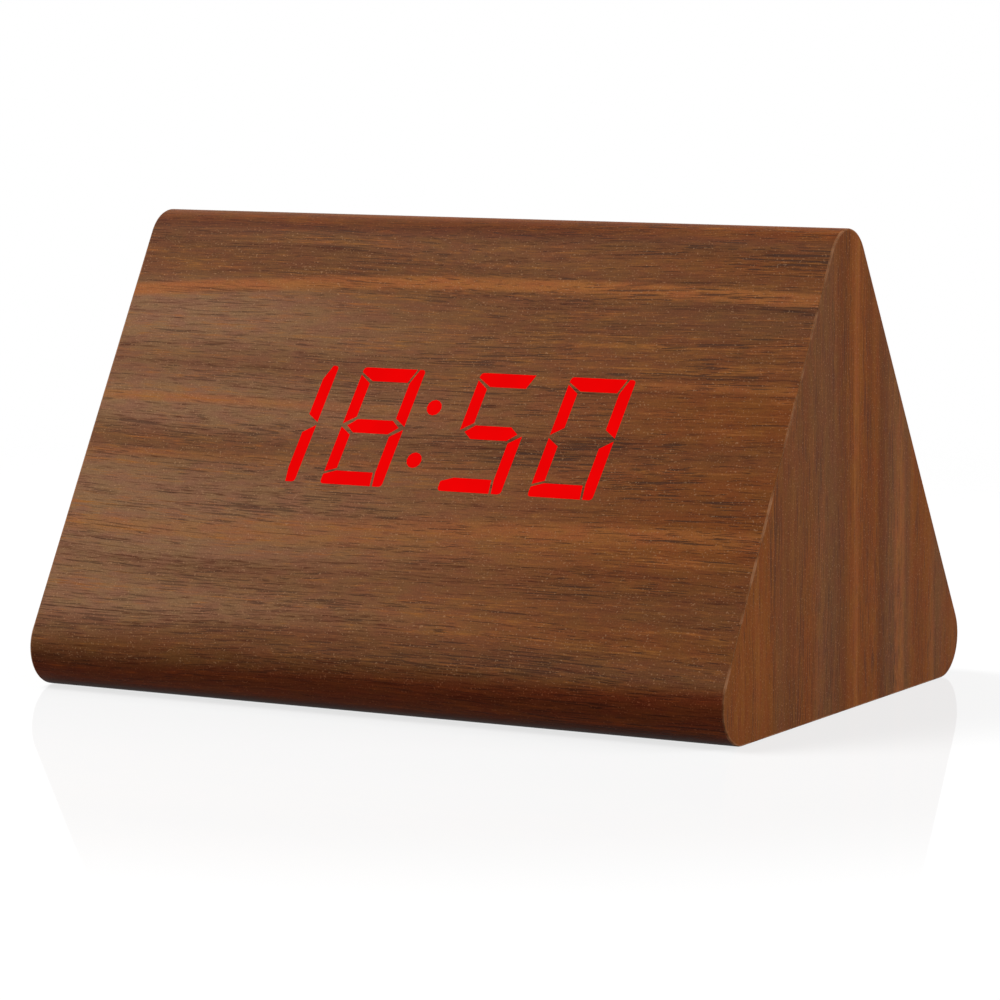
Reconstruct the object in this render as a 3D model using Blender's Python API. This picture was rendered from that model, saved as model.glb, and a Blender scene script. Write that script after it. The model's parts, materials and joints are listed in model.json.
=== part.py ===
"""Wooden digital alarm clock: a three-sided case with a lit time display.

Metres, +Z up. The display slope faces -Y and the control slope +Y. The origin is the
middle of the face that the clock rests on.
"""

import math

import bmesh
import bpy
from mathutils import Matrix, Vector

ROOT_2 = math.sqrt(2)
ROOT_3 = math.sqrt(3)
SLOPE = math.radians(60)

# Case: mitred boards in wood-grain film, on an equilateral section
CASE_WIDTH = 0.135
CASE_SIDE = 0.1015
CASE_EDGE_RADIUS = 0.007
CASE_INNER_RADIUS = 0.002
CASE_WALL = 0.005
CASE_SKIN = 0.0008

# Fits
SEAT_GAP = 0.0003
MITRE_GAP = 0.0001
GUIDE_GAP = 0.00005
PART_SPACE = 0.001
OVERRUN = 0.001

# Digits: one leaning cell of seven bars each, with a two-dot colon
TIME_SHOWN = "1850"
LIT_BARS = {"0": "abcdef", "1": "bc", "5": "acdfg", "8": "abcdefg"}
DIGIT_WIDTH = 0.0124
DIGIT_HEIGHT = 0.0221
DIGIT_BAR = 0.00265
DIGIT_UPRIGHT = 0.00235
DIGIT_SPLIT = 0.00035
DIGIT_CORNER = 0.0006
DIGIT_LEAN = math.radians(6.5)
DIGIT_PITCH = 0.0174
COLON_PITCH = 0.0232
COLON_DOT_RADIUS = 0.0015
COLON_SPACING = 0.00985
COLON_DROP = 0.0008
DISPLAY_RISE = 0.0536
DIGITS_OFFSET = 0.0011

# Where the mitres between the bars end, as shares of a bar's or upright's thickness
TOP_LEFT_SHARE = 0.45
TOP_RIGHT_SHARE = 0.40
BOTTOM_LEFT_SHARE = 0.78
BOTTOM_RIGHT_SHARE = 0.10
MIDDLE_TIP_SHARE = 0.58
MIDDLE_SHOULDER_SHARE = 0.15

# Display stack behind the front wall
GUIDE_BASE = 0.0008
GUIDE_MARGIN = 0.0006
REFLECTOR_END_MARGIN = 0.0016
REFLECTOR_SIDE_MARGIN = 0.004
REFLECTOR_EAR = 0.0056
REFLECTOR_LIP = 0.002
REFLECTOR_FLANGE = 0.002
REFLECTOR_CORNER = 0.0015
REFLECTOR_RIM = 0.0016
BOARD_THICKNESS = 0.0016
LED_LENGTH = 0.002
LED_WIDTH = 0.00125
LED_HEIGHT = 0.0005

# Control panel let into the rear slope
PANEL_RISE = 0.046
PANEL_RECESS = 0.0002
PANEL_THICKNESS = 0.0018
PANEL_END_MARGIN = 0.007
PANEL_SIDE_MARGIN = 0.003
PANEL_CORNER = 0.003
PANEL_EDGE_BEVEL = 0.0003
COLLAR_WALL = 0.0015
COLLAR_DEPTH = 0.004
OPENING_CORNER = 0.002
POST_RADIUS = 0.0022
GRILLE_SLOTS = 5
GRILLE_SLOT_WIDTH = 0.0011
GRILLE_SLOT_LENGTH = 0.008
GRILLE_PITCH = 0.0021

# Buttons and what they press
BUTTON_NAMES = ("set", "down", "up")
BUTTON_RADIUS = 0.004
BUTTON_PITCH = 0.014
BUTTON_RISE = 0.001
BUTTON_EDGE = 0.0006
BUTTON_DISH_RADIUS = 0.0026
BUTTON_DISH_DEPTH = 0.0003
BUTTON_FLANGE_RADIUS = 0.0046
BUTTON_FLANGE = 0.001
BUTTON_STEM_RADIUS = 0.002
BUTTON_STEM = 0.001
SWITCH_SIDE = 0.006
SWITCH_HEIGHT = 0.0035
SWITCH_CORNER = 0.0005
PLUNGER_RADIUS = 0.0017
PLUNGER_RISE = 0.0015
PLUNGER_LENGTH = 0.0027
PLUNGER_WELL = 0.0024

# Control board and the parts on it
CONTROL_BOARD_HEIGHT = 0.020
CONTROL_BOARD_EDGE = 0.0026
BOARD_CORNER = 0.001
BUZZER_RADIUS = 0.006
BUZZER_HEIGHT = 0.006
BUZZER_HOLE_RADIUS = 0.001
JACK_SIDE = 0.008
JACK_NOSE_RADIUS = 0.003
JACK_BORE_RADIUS = 0.00185
JACK_FLOOR = 0.0015
JACK_PIN_RADIUS = 0.00065
JACK_PIN_FOOT_RADIUS = 0.0012
JACK_PIN_FOOT = 0.0005
JACK_PIN_SHY = 0.001
CHIP_LENGTH = 0.010
CHIP_WIDTH = 0.0075
CHIP_HEIGHT = 0.0023
CHIP_NOTCH_RADIUS = 0.0008
CHIP_NOTCH = 0.0004
CRYSTAL_RADIUS = 0.0015
CRYSTAL_LENGTH = 0.008
CAPACITOR_RADIUS = 0.00315
CAPACITOR_HEIGHT = 0.0055
CAPACITOR_GROOVE = 0.0004
COMPONENT_PITCH = 0.0112

# Screws
SCREW_HEAD_RADIUS = 0.0019
SCREW_HEAD = 0.0011
SCREW_RADIUS = 0.0009
SCREW_POINT = 0.0008
SCREW_SUNK = 0.0001
SCREW_CROSS = 0.0026
SCREW_CROSS_WIDTH = 0.0005
SCREW_CROSS_DEPTH = 0.0006
WALL_SCREW_LENGTH = 0.0042
DOOR_SCREW_LENGTH = 0.0078
BOARD_SCREW_BITE = 0.004
DISPLAY_SCREW_BITE = 0.0028

# Battery compartment in the base
CELL_RADIUS = 0.00525
CELL_LENGTH = 0.0445
CELL_PITCH = 0.0109
CELL_COUNT = 4
CELL_NUB_RADIUS = 0.0019
CELL_NUB = 0.001
CELL_EDGE = 0.0005
CONTACT_THICKNESS = 0.0004
CONTACT_WIDTH = 0.008
CONTACT_HEIGHT = 0.009
DIMPLE_RADIUS = 0.0022
DIMPLE_TIP_RADIUS = 0.0014
DIMPLE_HEIGHT = 0.001
SPRING_LENGTH = 0.0042
SPRING_WIRE_RADIUS = 0.0003
SPRING_FOOT_RADIUS = 0.0034
SPRING_TIP_RADIUS = 0.0022
SPRING_TURNS = 3
TAB_WIDTH = 0.002
TAB_RISE = 0.0025
TRAY_WALL = 0.0014
TRAY_CORNER = 0.0015
TRAY_FLANGE = 0.005
TRAY_FLANGE_THICKNESS = 0.0017
TRAY_RECESS = 0.0003
BOSS_RADIUS = 0.0024
BOSS_LENGTH = 0.0066
DOOR_RECESS = 0.0005
DOOR_THICKNESS = 0.0016
DOOR_END_LAP = 0.006
DOOR_SIDE_LAP = 0.0012
DOOR_RIB = 0.0005
DOOR_RIB_WIDTH = 0.0006
DOOR_RIB_LENGTH = 0.012
DOOR_RIB_PITCH = 0.0018
DOOR_RIBS = 6

# Wiring
WIRE_RADIUS = 0.0006
WIRE_LEAD = 0.011
WIRE_PAD_INSET = 0.0025
RIBBON_WIDTH = 0.012
RIBBON_THICKNESS = 0.0009
RIBBON_LEAD = 0.010

# Facets
CORNER_STEPS = 12
BOX_CORNER_STEPS = 2
PANEL_CORNER_STEPS = 5
SCREW_SIDES = 10
SMALL_SIDES = 12
CELL_SIDES = 14
ROUND_SIDES = 24
WIRE_STEPS = 12
SPRING_STEPS = 7
SHARP_ANGLE = math.radians(32)

# What the pieces above work out to
PANEL_INSIDE = PANEL_RECESS + PANEL_THICKNESS
BUTTON_FLANGE_TOP = PANEL_INSIDE + SEAT_GAP
BUTTON_FOOT = BUTTON_FLANGE_TOP + BUTTON_FLANGE + BUTTON_STEM
PLUNGER_TOP = BUTTON_FOOT + SEAT_GAP
SWITCH_TOP = PLUNGER_TOP + PLUNGER_RISE
CONTROL_BOARD_TOP = SWITCH_TOP + SWITCH_HEIGHT + SEAT_GAP
CONTROL_BOARD_BACK = CONTROL_BOARD_TOP + BOARD_THICKNESS
POST_PLACE = BUTTON_PITCH + BUTTON_FLANGE_RADIUS + POST_RADIUS + PART_SPACE
BUZZER_PLACE = -(POST_PLACE + POST_RADIUS + BUZZER_RADIUS + PART_SPACE)
JACK_PLACE = POST_PLACE + POST_RADIUS + JACK_SIDE / 2 + PART_SPACE
CONTROL_BOARD_WIDTH = 2 * (BUZZER_RADIUS + CONTROL_BOARD_EDGE - BUZZER_PLACE)
OPENING_WIDTH = CONTROL_BOARD_WIDTH + 2 * SEAT_GAP
OPENING_HEIGHT = CONTROL_BOARD_HEIGHT + 2 * SEAT_GAP
PANEL_WIDTH = OPENING_WIDTH + 2 * PANEL_END_MARGIN
PANEL_HEIGHT = OPENING_HEIGHT + 2 * PANEL_SIDE_MARGIN
COLLAR_WIDTH = OPENING_WIDTH - 2 * SEAT_GAP
COLLAR_HEIGHT = OPENING_HEIGHT - 2 * SEAT_GAP
PANEL_SCREW_PLACE = (OPENING_WIDTH + PANEL_END_MARGIN) / 2
PANEL_SCREW_SPREAD = OPENING_HEIGHT / 2 - SCREW_HEAD_RADIUS

LEAN_REACH = DIGIT_HEIGHT / 2 * math.tan(DIGIT_LEAN)
DIGITS_REACH = DIGITS_OFFSET + COLON_PITCH / 2 + DIGIT_PITCH + DIGIT_WIDTH / 2 + LEAN_REACH
REFLECTOR_WIDTH = 2 * (DIGITS_REACH + REFLECTOR_END_MARGIN)
REFLECTOR_HEIGHT = DIGIT_HEIGHT + 2 * REFLECTOR_SIDE_MARGIN
FLANGE_WIDTH = REFLECTOR_WIDTH + 2 * REFLECTOR_EAR
FLANGE_HEIGHT = REFLECTOR_HEIGHT + 2 * REFLECTOR_LIP
REFLECTOR_FACE = CASE_SKIN + SEAT_GAP
FLANGE_FACE = CASE_WALL + SEAT_GAP
REFLECTOR_BACK = FLANGE_FACE + REFLECTOR_FLANGE
GUIDE_BASE_FACE = REFLECTOR_BACK + SEAT_GAP
GUIDE_BACK = GUIDE_BASE_FACE + GUIDE_BASE
DISPLAY_BOARD_FACE = GUIDE_BACK + SEAT_GAP + LED_HEIGHT
DISPLAY_BOARD_BACK = DISPLAY_BOARD_FACE + BOARD_THICKNESS
EAR_PLACE = (REFLECTOR_WIDTH + REFLECTOR_EAR) / 2
EAR_SPREAD = FLANGE_HEIGHT / 2 - SCREW_HEAD_RADIUS - PART_SPACE

DOOR_INSIDE = DOOR_RECESS + DOOR_THICKNESS
TRAY_LEDGE = DOOR_INSIDE + SEAT_GAP
CELL_DEPTH = TRAY_LEDGE + CELL_RADIUS
TRAY_ROOF = CELL_DEPTH + CELL_RADIUS + SEAT_GAP
TRAY_TOP = TRAY_ROOF + TRAY_WALL
POLE_SPACE = SEAT_GAP + CONTACT_THICKNESS + DIMPLE_HEIGHT + SEAT_GAP
SPRING_SPACE = SEAT_GAP + CONTACT_THICKNESS + SPRING_LENGTH + SEAT_GAP
CAVITY_LENGTH = CELL_LENGTH + POLE_SPACE + SPRING_SPACE
CAVITY_WIDTH = (CELL_COUNT - 1) * CELL_PITCH + 2 * (CELL_RADIUS + SEAT_GAP)
DOOR_LENGTH = CAVITY_LENGTH + 2 * DOOR_END_LAP
DOOR_WIDTH = CAVITY_WIDTH + 2 * DOOR_SIDE_LAP
MOUTH_LENGTH = DOOR_LENGTH + 2 * (SEAT_GAP + TRAY_WALL)
MOUTH_WIDTH = DOOR_WIDTH + 2 * (SEAT_GAP + TRAY_WALL)
TRAY_LENGTH = MOUTH_LENGTH + 2 * TRAY_FLANGE
TRAY_WIDTH = MOUTH_WIDTH + 2 * TRAY_FLANGE
DOOR_SCREW_PLACE = (CAVITY_LENGTH + DOOR_END_LAP) / 2
TRAY_SCREW_PLACE = (MOUTH_LENGTH + TRAY_FLANGE) / 2


def clear_scene():
    for obj in list(bpy.data.objects):
        bpy.data.objects.remove(obj, do_unlink=True)


def material(name, colour, roughness, metallic=0.0, glow=0.0):
    """A plain finish, with a glow of its own colour where it is lit."""
    made = bpy.data.materials.new(name)
    made.use_nodes = True
    shader = made.node_tree.nodes["Principled BSDF"]
    shader.inputs["Base Color"].default_value = (*colour, 1.0)
    shader.inputs["Roughness"].default_value = roughness
    shader.inputs["Metallic"].default_value = metallic
    if glow:
        shader.inputs["Emission Color"].default_value = (*colour, 1.0)
        shader.inputs["Emission Strength"].default_value = glow
    made.diffuse_color = (*colour, 1.0)
    return made


def axes(name, matrix, parent=None):
    """An empty that carries the pieces of one face of the case."""
    empty = bpy.data.objects.new(name, None)
    bpy.context.scene.collection.objects.link(empty)
    empty.parent = parent
    empty.matrix_local = matrix
    return empty


# Outlines in a plane


def rounded_box(width, height, radius, x=0.0, y=0.0, steps=BOX_CORNER_STEPS):
    """A rectangle with round corners, counter-clockwise."""
    radius = min(radius, width / 2, height / 2)
    points = []
    for turn, (side_x, side_y) in enumerate(((1, 1), (-1, 1), (-1, -1), (1, -1))):
        centre_x = x + side_x * (width / 2 - radius)
        centre_y = y + side_y * (height / 2 - radius)
        points += arc(centre_x, centre_y, radius, turn * 90, 90, steps)
    return points


def box(width, height, x=0.0, y=0.0):
    signs = ((-1, -1), (1, -1), (1, 1), (-1, 1))
    return [(x + across * width / 2, y + up * height / 2) for across, up in signs]


def circle(radius, sides, x=0.0, y=0.0):
    return arc(x, y, radius, 0, 360, sides)[:-1]


def arc(x, y, radius, start, sweep, steps):
    """Points on an arc, its angles in degrees."""
    points = []
    for step in range(steps + 1):
        angle = math.radians(start + sweep * step / steps)
        points.append((x + radius * math.cos(angle), y + radius * math.sin(angle)))
    return points


def case_section(inset, radius):
    """The case's section in Y and Z, standing on its base and taken in by inset."""
    side = CASE_SIDE - 2 * ROOT_3 * inset
    reach = side / 2 - ROOT_3 * radius
    peak = inset + side * ROOT_3 / 2 - 2 * radius
    points = []
    for corner, (y, z) in enumerate(((reach, inset + radius), (0, peak), (-reach, inset + radius))):
        points += arc(y, z, radius, 120 * corner - 90, 120, CORNER_STEPS)
    return points


def inset_outline(outline, distance):
    """A convex counter-clockwise outline with every edge moved in by distance."""
    edges = []
    for (x_0, y_0), (x_1, y_1) in zip(outline, outline[1:] + outline[:1]):
        length = math.hypot(x_1 - x_0, y_1 - y_0)
        across = (y_0 - y_1) / length
        up = (x_1 - x_0) / length
        edges.append((across, up, across * x_0 + up * y_0 + distance))
    points = []
    for (a_0, b_0, c_0), (a_1, b_1, c_1) in zip(edges[-1:] + edges[:-1], edges):
        cross = a_0 * b_1 - a_1 * b_0
        points.append(((c_0 * b_1 - c_1 * b_0) / cross, (a_0 * c_1 - a_1 * c_0) / cross))
    return points


def digit_bars():
    """The seven bars of an upright digit, by letter, counter-clockwise about its middle.

    Each corner of the digit is mitred where the lit picture shows it: the top bar runs
    over the left upright, the right uprights run past the top and bottom bars, and the
    bottom bar runs under the left upright. The middle bar is pointed at both ends.
    """
    side = DIGIT_WIDTH / 2
    top = DIGIT_HEIGHT / 2
    inner = side - DIGIT_UPRIGHT
    lintel = top - DIGIT_BAR
    waist = DIGIT_BAR / 2
    split = DIGIT_SPLIT
    half = split / 2
    rounding = DIGIT_CORNER
    top_left = top - TOP_LEFT_SHARE * DIGIT_BAR
    top_right = inner + TOP_RIGHT_SHARE * DIGIT_UPRIGHT
    bottom_left = BOTTOM_LEFT_SHARE * DIGIT_BAR - top
    bottom_right = inner + BOTTOM_RIGHT_SHARE * DIGIT_UPRIGHT
    tip = inner + MIDDLE_TIP_SHARE * DIGIT_UPRIGHT
    shoulder = inner - MIDDLE_SHOULDER_SHARE * DIGIT_UPRIGHT

    def corner(across, up):
        start = {(1, 1): 0, (-1, 1): 90, (-1, -1): 180, (1, -1): 270}[across, up]
        x = across * (side - rounding)
        y = up * (top - rounding)
        return arc(x, y, rounding, start, 90, BOX_CORNER_STEPS)

    return {
        "a": [
            (split - inner, lintel), (inner - split, lintel), (top_right - half, top),
            *corner(-1, 1), (-side, top_left + half),
        ],
        "b": [
            (inner, waist + split), (side, half),
            *corner(1, 1), (top_right + half, top), (inner, lintel),
        ],
        "c": [
            (side, -half), (inner, -waist - split), (inner, -lintel),
            (bottom_right + half, -top), *corner(1, -1),
        ],
        "d": [
            (-side, bottom_left - half), *corner(-1, -1), (bottom_right - half, -top),
            (inner - split, -lintel), (-inner, -lintel),
        ],
        "e": [
            (-side, -half), (-side, bottom_left + half),
            (-inner, split - lintel), (-inner, -waist - split),
        ],
        "f": [
            (-side, top_left - half), (-side, half),
            (-inner, waist + split), (-inner, lintel - split),
        ],
        "g": [
            (-tip, 0), (-shoulder, -waist), (shoulder, -waist),
            (tip, 0), (shoulder, waist), (-shoulder, waist),
        ],
    }


def leaning(outline, x):
    """An outline leant over to the right by the digits' angle, and moved to x."""
    return [(x + across + up * math.tan(DIGIT_LEAN), up) for across, up in outline]


def digit_places():
    """The middle of each of the four digits, left to right."""
    pair = COLON_PITCH / 2
    return [DIGITS_OFFSET + place for place in (-pair - DIGIT_PITCH, -pair, pair, pair + DIGIT_PITCH)]


def digit_outlines(x, letters):
    bars = digit_bars()
    return [leaning(bars[letter], x) for letter in letters]


def colon_outlines(grow):
    """The two dots, on the same lean as the digits."""
    places = [up * COLON_SPACING / 2 - COLON_DROP for up in (1, -1)]
    return [
        circle(COLON_DOT_RADIUS + grow, SMALL_SIDES, place * math.tan(DIGIT_LEAN), place)
        for place in places
    ]


# Solids


def add_loft(bm, rings, looped=False):
    """Skins a run of rings with as many points each, and closes its ends or joins them."""
    made = [[bm.verts.new(point) for point in ring] for ring in rings]
    pairs = list(zip(made, made[1:]))
    if looped:
        pairs.append((made[-1], made[0]))
    else:
        bm.faces.new(made[0])
        bm.faces.new(list(reversed(made[-1])))
    for first, second in pairs:
        for index, vert in enumerate(first):
            after = (index + 1) % len(first)
            bm.faces.new((vert, first[after], second[after], second[index]))


def add_prism(bm, outline, low, high):
    add_loft(bm, [[(x, y, z) for x, y in outline] for z in (low, high)])


def add_turned(bm, profile, sides, x=0.0, y=0.0):
    """A solid turned about an upright axis, from rings of radius and height."""
    rings = []
    for radius, height in profile:
        rings.append([(*point, height) for point in circle(radius, sides, x, y)])
    add_loft(bm, rings)


def finished_mesh(name, bm):
    bmesh.ops.recalc_face_normals(bm, faces=bm.faces)
    mesh = bpy.data.meshes.new(name)
    bm.to_mesh(mesh)
    bm.free()
    mesh.shade_smooth()
    mesh.set_sharp_from_angle(angle=SHARP_ANGLE)
    return mesh


def place_mesh(name, mesh, parent, finish, place=(0, 0, 0)):
    obj = bpy.data.objects.new(name, mesh)
    bpy.context.scene.collection.objects.link(obj)
    if finish and not mesh.materials:
        mesh.materials.append(finish)
    obj.parent = parent
    obj.location = place
    return obj


def prisms(name, parent, finish, shapes, place=(0, 0, 0)):
    """One object of upright prisms, each an outline with its low and high ends."""
    bm = bmesh.new()
    for outline, low, high in shapes:
        add_prism(bm, outline, low, high)
    return place_mesh(name, finished_mesh(name, bm), parent, finish, place)


def turned(name, parent, finish, profile, sides, place=(0, 0, 0)):
    bm = bmesh.new()
    add_turned(bm, profile, sides)
    return place_mesh(name, finished_mesh(name, bm), parent, finish, place)


def combine(target, tool, operation):
    """Joins a guide solid to a piece, or cuts it away, and keeps the guide out of sight."""
    tool.hide_render = True
    tool.display_type = "WIRE"
    modifier = target.modifiers.new(tool.name, "BOOLEAN")
    modifier.operation = operation
    modifier.object = tool
    modifier.solver = "EXACT"


def cut(target, name, parent, shapes, place=(0, 0, 0)):
    combine(target, prisms(f"{target.name}_{name}", parent, None, shapes, place), "DIFFERENCE")


def join(target, name, parent, shapes, place=(0, 0, 0)):
    combine(target, prisms(f"{target.name}_{name}", parent, None, shapes, place), "UNION")


def cut_turned(target, name, parent, profile, places, sides=SMALL_SIDES):
    """Cuts the same turned shape at each place."""
    bm = bmesh.new()
    for x, y in places:
        add_turned(bm, profile, sides, x, y)
    tool = place_mesh(f"{target.name}_{name}", finished_mesh(name, bm), parent, None)
    combine(target, tool, "DIFFERENCE")


def settled_mesh(obj):
    """The mesh of an object with its modifiers worked in, for pieces that share it."""
    mesh = bpy.data.meshes.new_from_object(obj.evaluated_get(bpy.context.evaluated_depsgraph_get()))
    guides = [modifier.object for modifier in obj.modifiers]
    for used in [obj, *guides]:
        bpy.data.objects.remove(used, do_unlink=True)
    return mesh


# Screws


def countersink_profile(length, recess):
    """The hole that clears a countersunk screw, sunk below a face at that recess."""
    top = -recess - SCREW_SUNK
    head = SCREW_HEAD_RADIUS + SEAT_GAP
    shank = SCREW_RADIUS + SEAT_GAP
    return [
        (head, top + OVERRUN),
        (head, top - SEAT_GAP),
        (shank, top - SCREW_HEAD - SEAT_GAP),
        (shank, top - length - SEAT_GAP),
    ]


def countersunk_mesh(name, length, finish):
    profile = [
        (SCREW_HEAD_RADIUS, 0.0),
        (SCREW_RADIUS, -SCREW_HEAD),
        (SCREW_RADIUS, SCREW_POINT - length),
        (SCREW_RADIUS / 3, -length),
    ]
    screw = turned(name, None, finish, profile, SCREW_SIDES)
    slot = box(SCREW_CROSS, SCREW_CROSS_WIDTH)
    bar = box(SCREW_CROSS_WIDTH, SCREW_CROSS)
    cut(screw, "slot", None, [(slot, -SCREW_CROSS_DEPTH, OVERRUN)])
    cut(screw, "bar", None, [(bar, -SCREW_CROSS_DEPTH, OVERRUN)])
    return settled_mesh(screw)


def pan_mesh(name, length):
    """A pan-head screw that stands on height zero and runs down from it."""
    bm = bmesh.new()
    profile = [
        (SCREW_HEAD_RADIUS - SCREW_HEAD / 3, SCREW_HEAD),
        (SCREW_HEAD_RADIUS, SCREW_HEAD * 2 / 3),
        (SCREW_HEAD_RADIUS, 0.0),
        (SCREW_RADIUS, 0.0),
        (SCREW_RADIUS, SCREW_POINT - length),
        (SCREW_RADIUS / 3, -length),
    ]
    add_turned(bm, profile, SCREW_SIDES)
    return finished_mesh(name, bm)


def corners(across, up):
    return [(-across, -up), (across, -up), (across, up), (-across, up)]


# Case


def case_wrap(finish, display, panel, base):
    """The three mitred boards that fold round the clock, as one tube in its film."""
    outer = case_section(0.0, CASE_EDGE_RADIUS)
    inner = case_section(CASE_WALL, CASE_INNER_RADIUS)
    end = CASE_WIDTH / 2 - ROOT_2 * MITRE_GAP
    bm = bmesh.new()
    rings = []
    for section, x in ((outer, end), (inner, end - CASE_WALL), (inner, CASE_WALL - end), (outer, -end)):
        rings.append([(x, y, z) for y, z in section])
    add_loft(bm, rings, looped=True)
    wrap = place_mesh("case_wrap", finished_mesh("case_wrap", bm), None, finish)

    width = REFLECTOR_WIDTH + 2 * SEAT_GAP
    height = REFLECTOR_HEIGHT + 2 * SEAT_GAP
    pocket = rounded_box(width, height, REFLECTOR_CORNER + SEAT_GAP)
    cut(wrap, "display_pocket", display, [(pocket, -CASE_WALL - OVERRUN, -CASE_SKIN)])
    windows = []
    for x, figure in zip(digit_places(), TIME_SHOWN):
        windows += digit_outlines(x, LIT_BARS[figure])
    windows += colon_outlines(0.0)
    cut(wrap, "lit_windows", display, [(outline, -CASE_SKIN - OVERRUN, OVERRUN) for outline in windows])
    pilot = SCREW_RADIUS + SEAT_GAP
    tip = -CASE_WALL + DISPLAY_SCREW_BITE + SEAT_GAP
    profile = [(pilot, -CASE_WALL - OVERRUN), (pilot, tip)]
    cut_turned(wrap, "display_pilots", display, profile, corners(EAR_PLACE, EAR_SPREAD))

    opening = rounded_box(OPENING_WIDTH, OPENING_HEIGHT, OPENING_CORNER)
    rebate = inset_outline(panel_outline(), -SEAT_GAP)
    cut(wrap, "panel_opening", panel, [(opening, -CASE_WALL - OVERRUN, OVERRUN)])
    cut(wrap, "panel_rebate", panel, [(rebate, -PANEL_INSIDE - SEAT_GAP, OVERRUN)])
    through = [(pilot, -CASE_WALL - OVERRUN), (pilot, 0.0)]
    cut_turned(wrap, "panel_pilots", panel, through, corners(PANEL_SCREW_PLACE, PANEL_SCREW_SPREAD))

    mouth = rounded_box(MOUTH_LENGTH + 2 * SEAT_GAP, MOUTH_WIDTH + 2 * SEAT_GAP, TRAY_CORNER + SEAT_GAP)
    flange = rounded_box(TRAY_LENGTH + 2 * SEAT_GAP, TRAY_WIDTH + 2 * SEAT_GAP, TRAY_CORNER + SEAT_GAP)
    seat = TRAY_RECESS + TRAY_FLANGE_THICKNESS + SEAT_GAP
    cut(wrap, "tray_opening", base, [(mouth, -CASE_WALL - OVERRUN, OVERRUN)])
    cut(wrap, "tray_rebate", base, [(flange, -seat, OVERRUN)])
    places = [(TRAY_SCREW_PLACE, 0.0), (-TRAY_SCREW_PLACE, 0.0)]
    cut_turned(wrap, "tray_pilots", base, through, places)


def end_panel(name, side, finish):
    """A mitred board that closes one end of the case."""
    bm = bmesh.new()
    rings = []
    for inset, radius in ((0.0, CASE_EDGE_RADIUS), (CASE_WALL, CASE_INNER_RADIUS)):
        x = side * (CASE_WIDTH / 2 - inset)
        rings.append([(x, y, z) for y, z in case_section(inset, radius)])
    add_loft(bm, rings)
    place_mesh(name, finished_mesh(name, bm), None, finish)


# Display


def display_reflector(display, finish):
    """The moulding with one well for each bar, stepped to sit in and behind the wall."""
    flange = rounded_box(FLANGE_WIDTH, FLANGE_HEIGHT, REFLECTOR_CORNER)
    block = rounded_box(REFLECTOR_WIDTH, REFLECTOR_HEIGHT, REFLECTOR_CORNER)
    rim_back = -DISPLAY_BOARD_FACE + SEAT_GAP
    reflector = prisms("display_reflector", display, finish, [(flange, rim_back, -FLANGE_FACE)])
    join(reflector, "block", display, [(block, -FLANGE_FACE - OVERRUN, -REFLECTOR_FACE)])
    recess = rounded_box(
        REFLECTOR_WIDTH - 2 * PART_SPACE, FLANGE_HEIGHT - 2 * REFLECTOR_RIM, REFLECTOR_CORNER
    )
    cut(reflector, "recess", display, [(recess, rim_back - OVERRUN, -REFLECTOR_BACK)])
    wells = []
    for x in digit_places():
        wells += digit_outlines(x, "abcdefg")
    wells += colon_outlines(0.0)
    low = -REFLECTOR_BACK - OVERRUN
    cut(reflector, "wells", display, [(outline, low, OVERRUN) for outline in wells])
    clearance = SCREW_RADIUS + SEAT_GAP
    profile = [(clearance, rim_back - OVERRUN), (clearance, 0.0)]
    cut_turned(reflector, "screw_holes", display, profile, corners(EAR_PLACE, EAR_SPREAD))


def light_guide(name, display, finish, base, bars):
    """A clear moulding that fills its wells. Lit bars reach the face of the case."""
    guide = prisms(name, display, finish, [(base, -GUIDE_BACK, -GUIDE_BASE_FACE)])
    middle = -GUIDE_BASE_FACE - GUIDE_BASE / 2
    shapes = []
    for outline, lit in bars:
        face = 0.0 if lit else -REFLECTOR_FACE
        shapes.append((inset_outline(outline, GUIDE_GAP), middle, face))
    join(guide, "bars", display, shapes)


def light_guides(display, finish):
    names = ("hours_tens_digit", "hours_units_digit", "minutes_tens_digit", "minutes_units_digit")
    width = DIGIT_WIDTH + 2 * GUIDE_MARGIN
    height = DIGIT_HEIGHT + 2 * GUIDE_MARGIN
    for name, x, figure in zip(names, digit_places(), TIME_SHOWN):
        base = leaning(rounded_box(width, height, REFLECTOR_CORNER), x)
        bars = []
        for letter, outline in digit_bars().items():
            bars.append((leaning(outline, x), letter in LIT_BARS[figure]))
        light_guide(name, display, finish, base, bars)
    height = COLON_SPACING + 2 * (COLON_DOT_RADIUS + GUIDE_MARGIN)
    width = 2 * (COLON_DOT_RADIUS + GUIDE_MARGIN)
    upright = rounded_box(width, height, COLON_DOT_RADIUS, 0.0, -COLON_DROP)
    dots = [(outline, True) for outline in colon_outlines(0.0)]
    light_guide("colon_dots", display, finish, leaning(upright, 0.0), dots)


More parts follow.
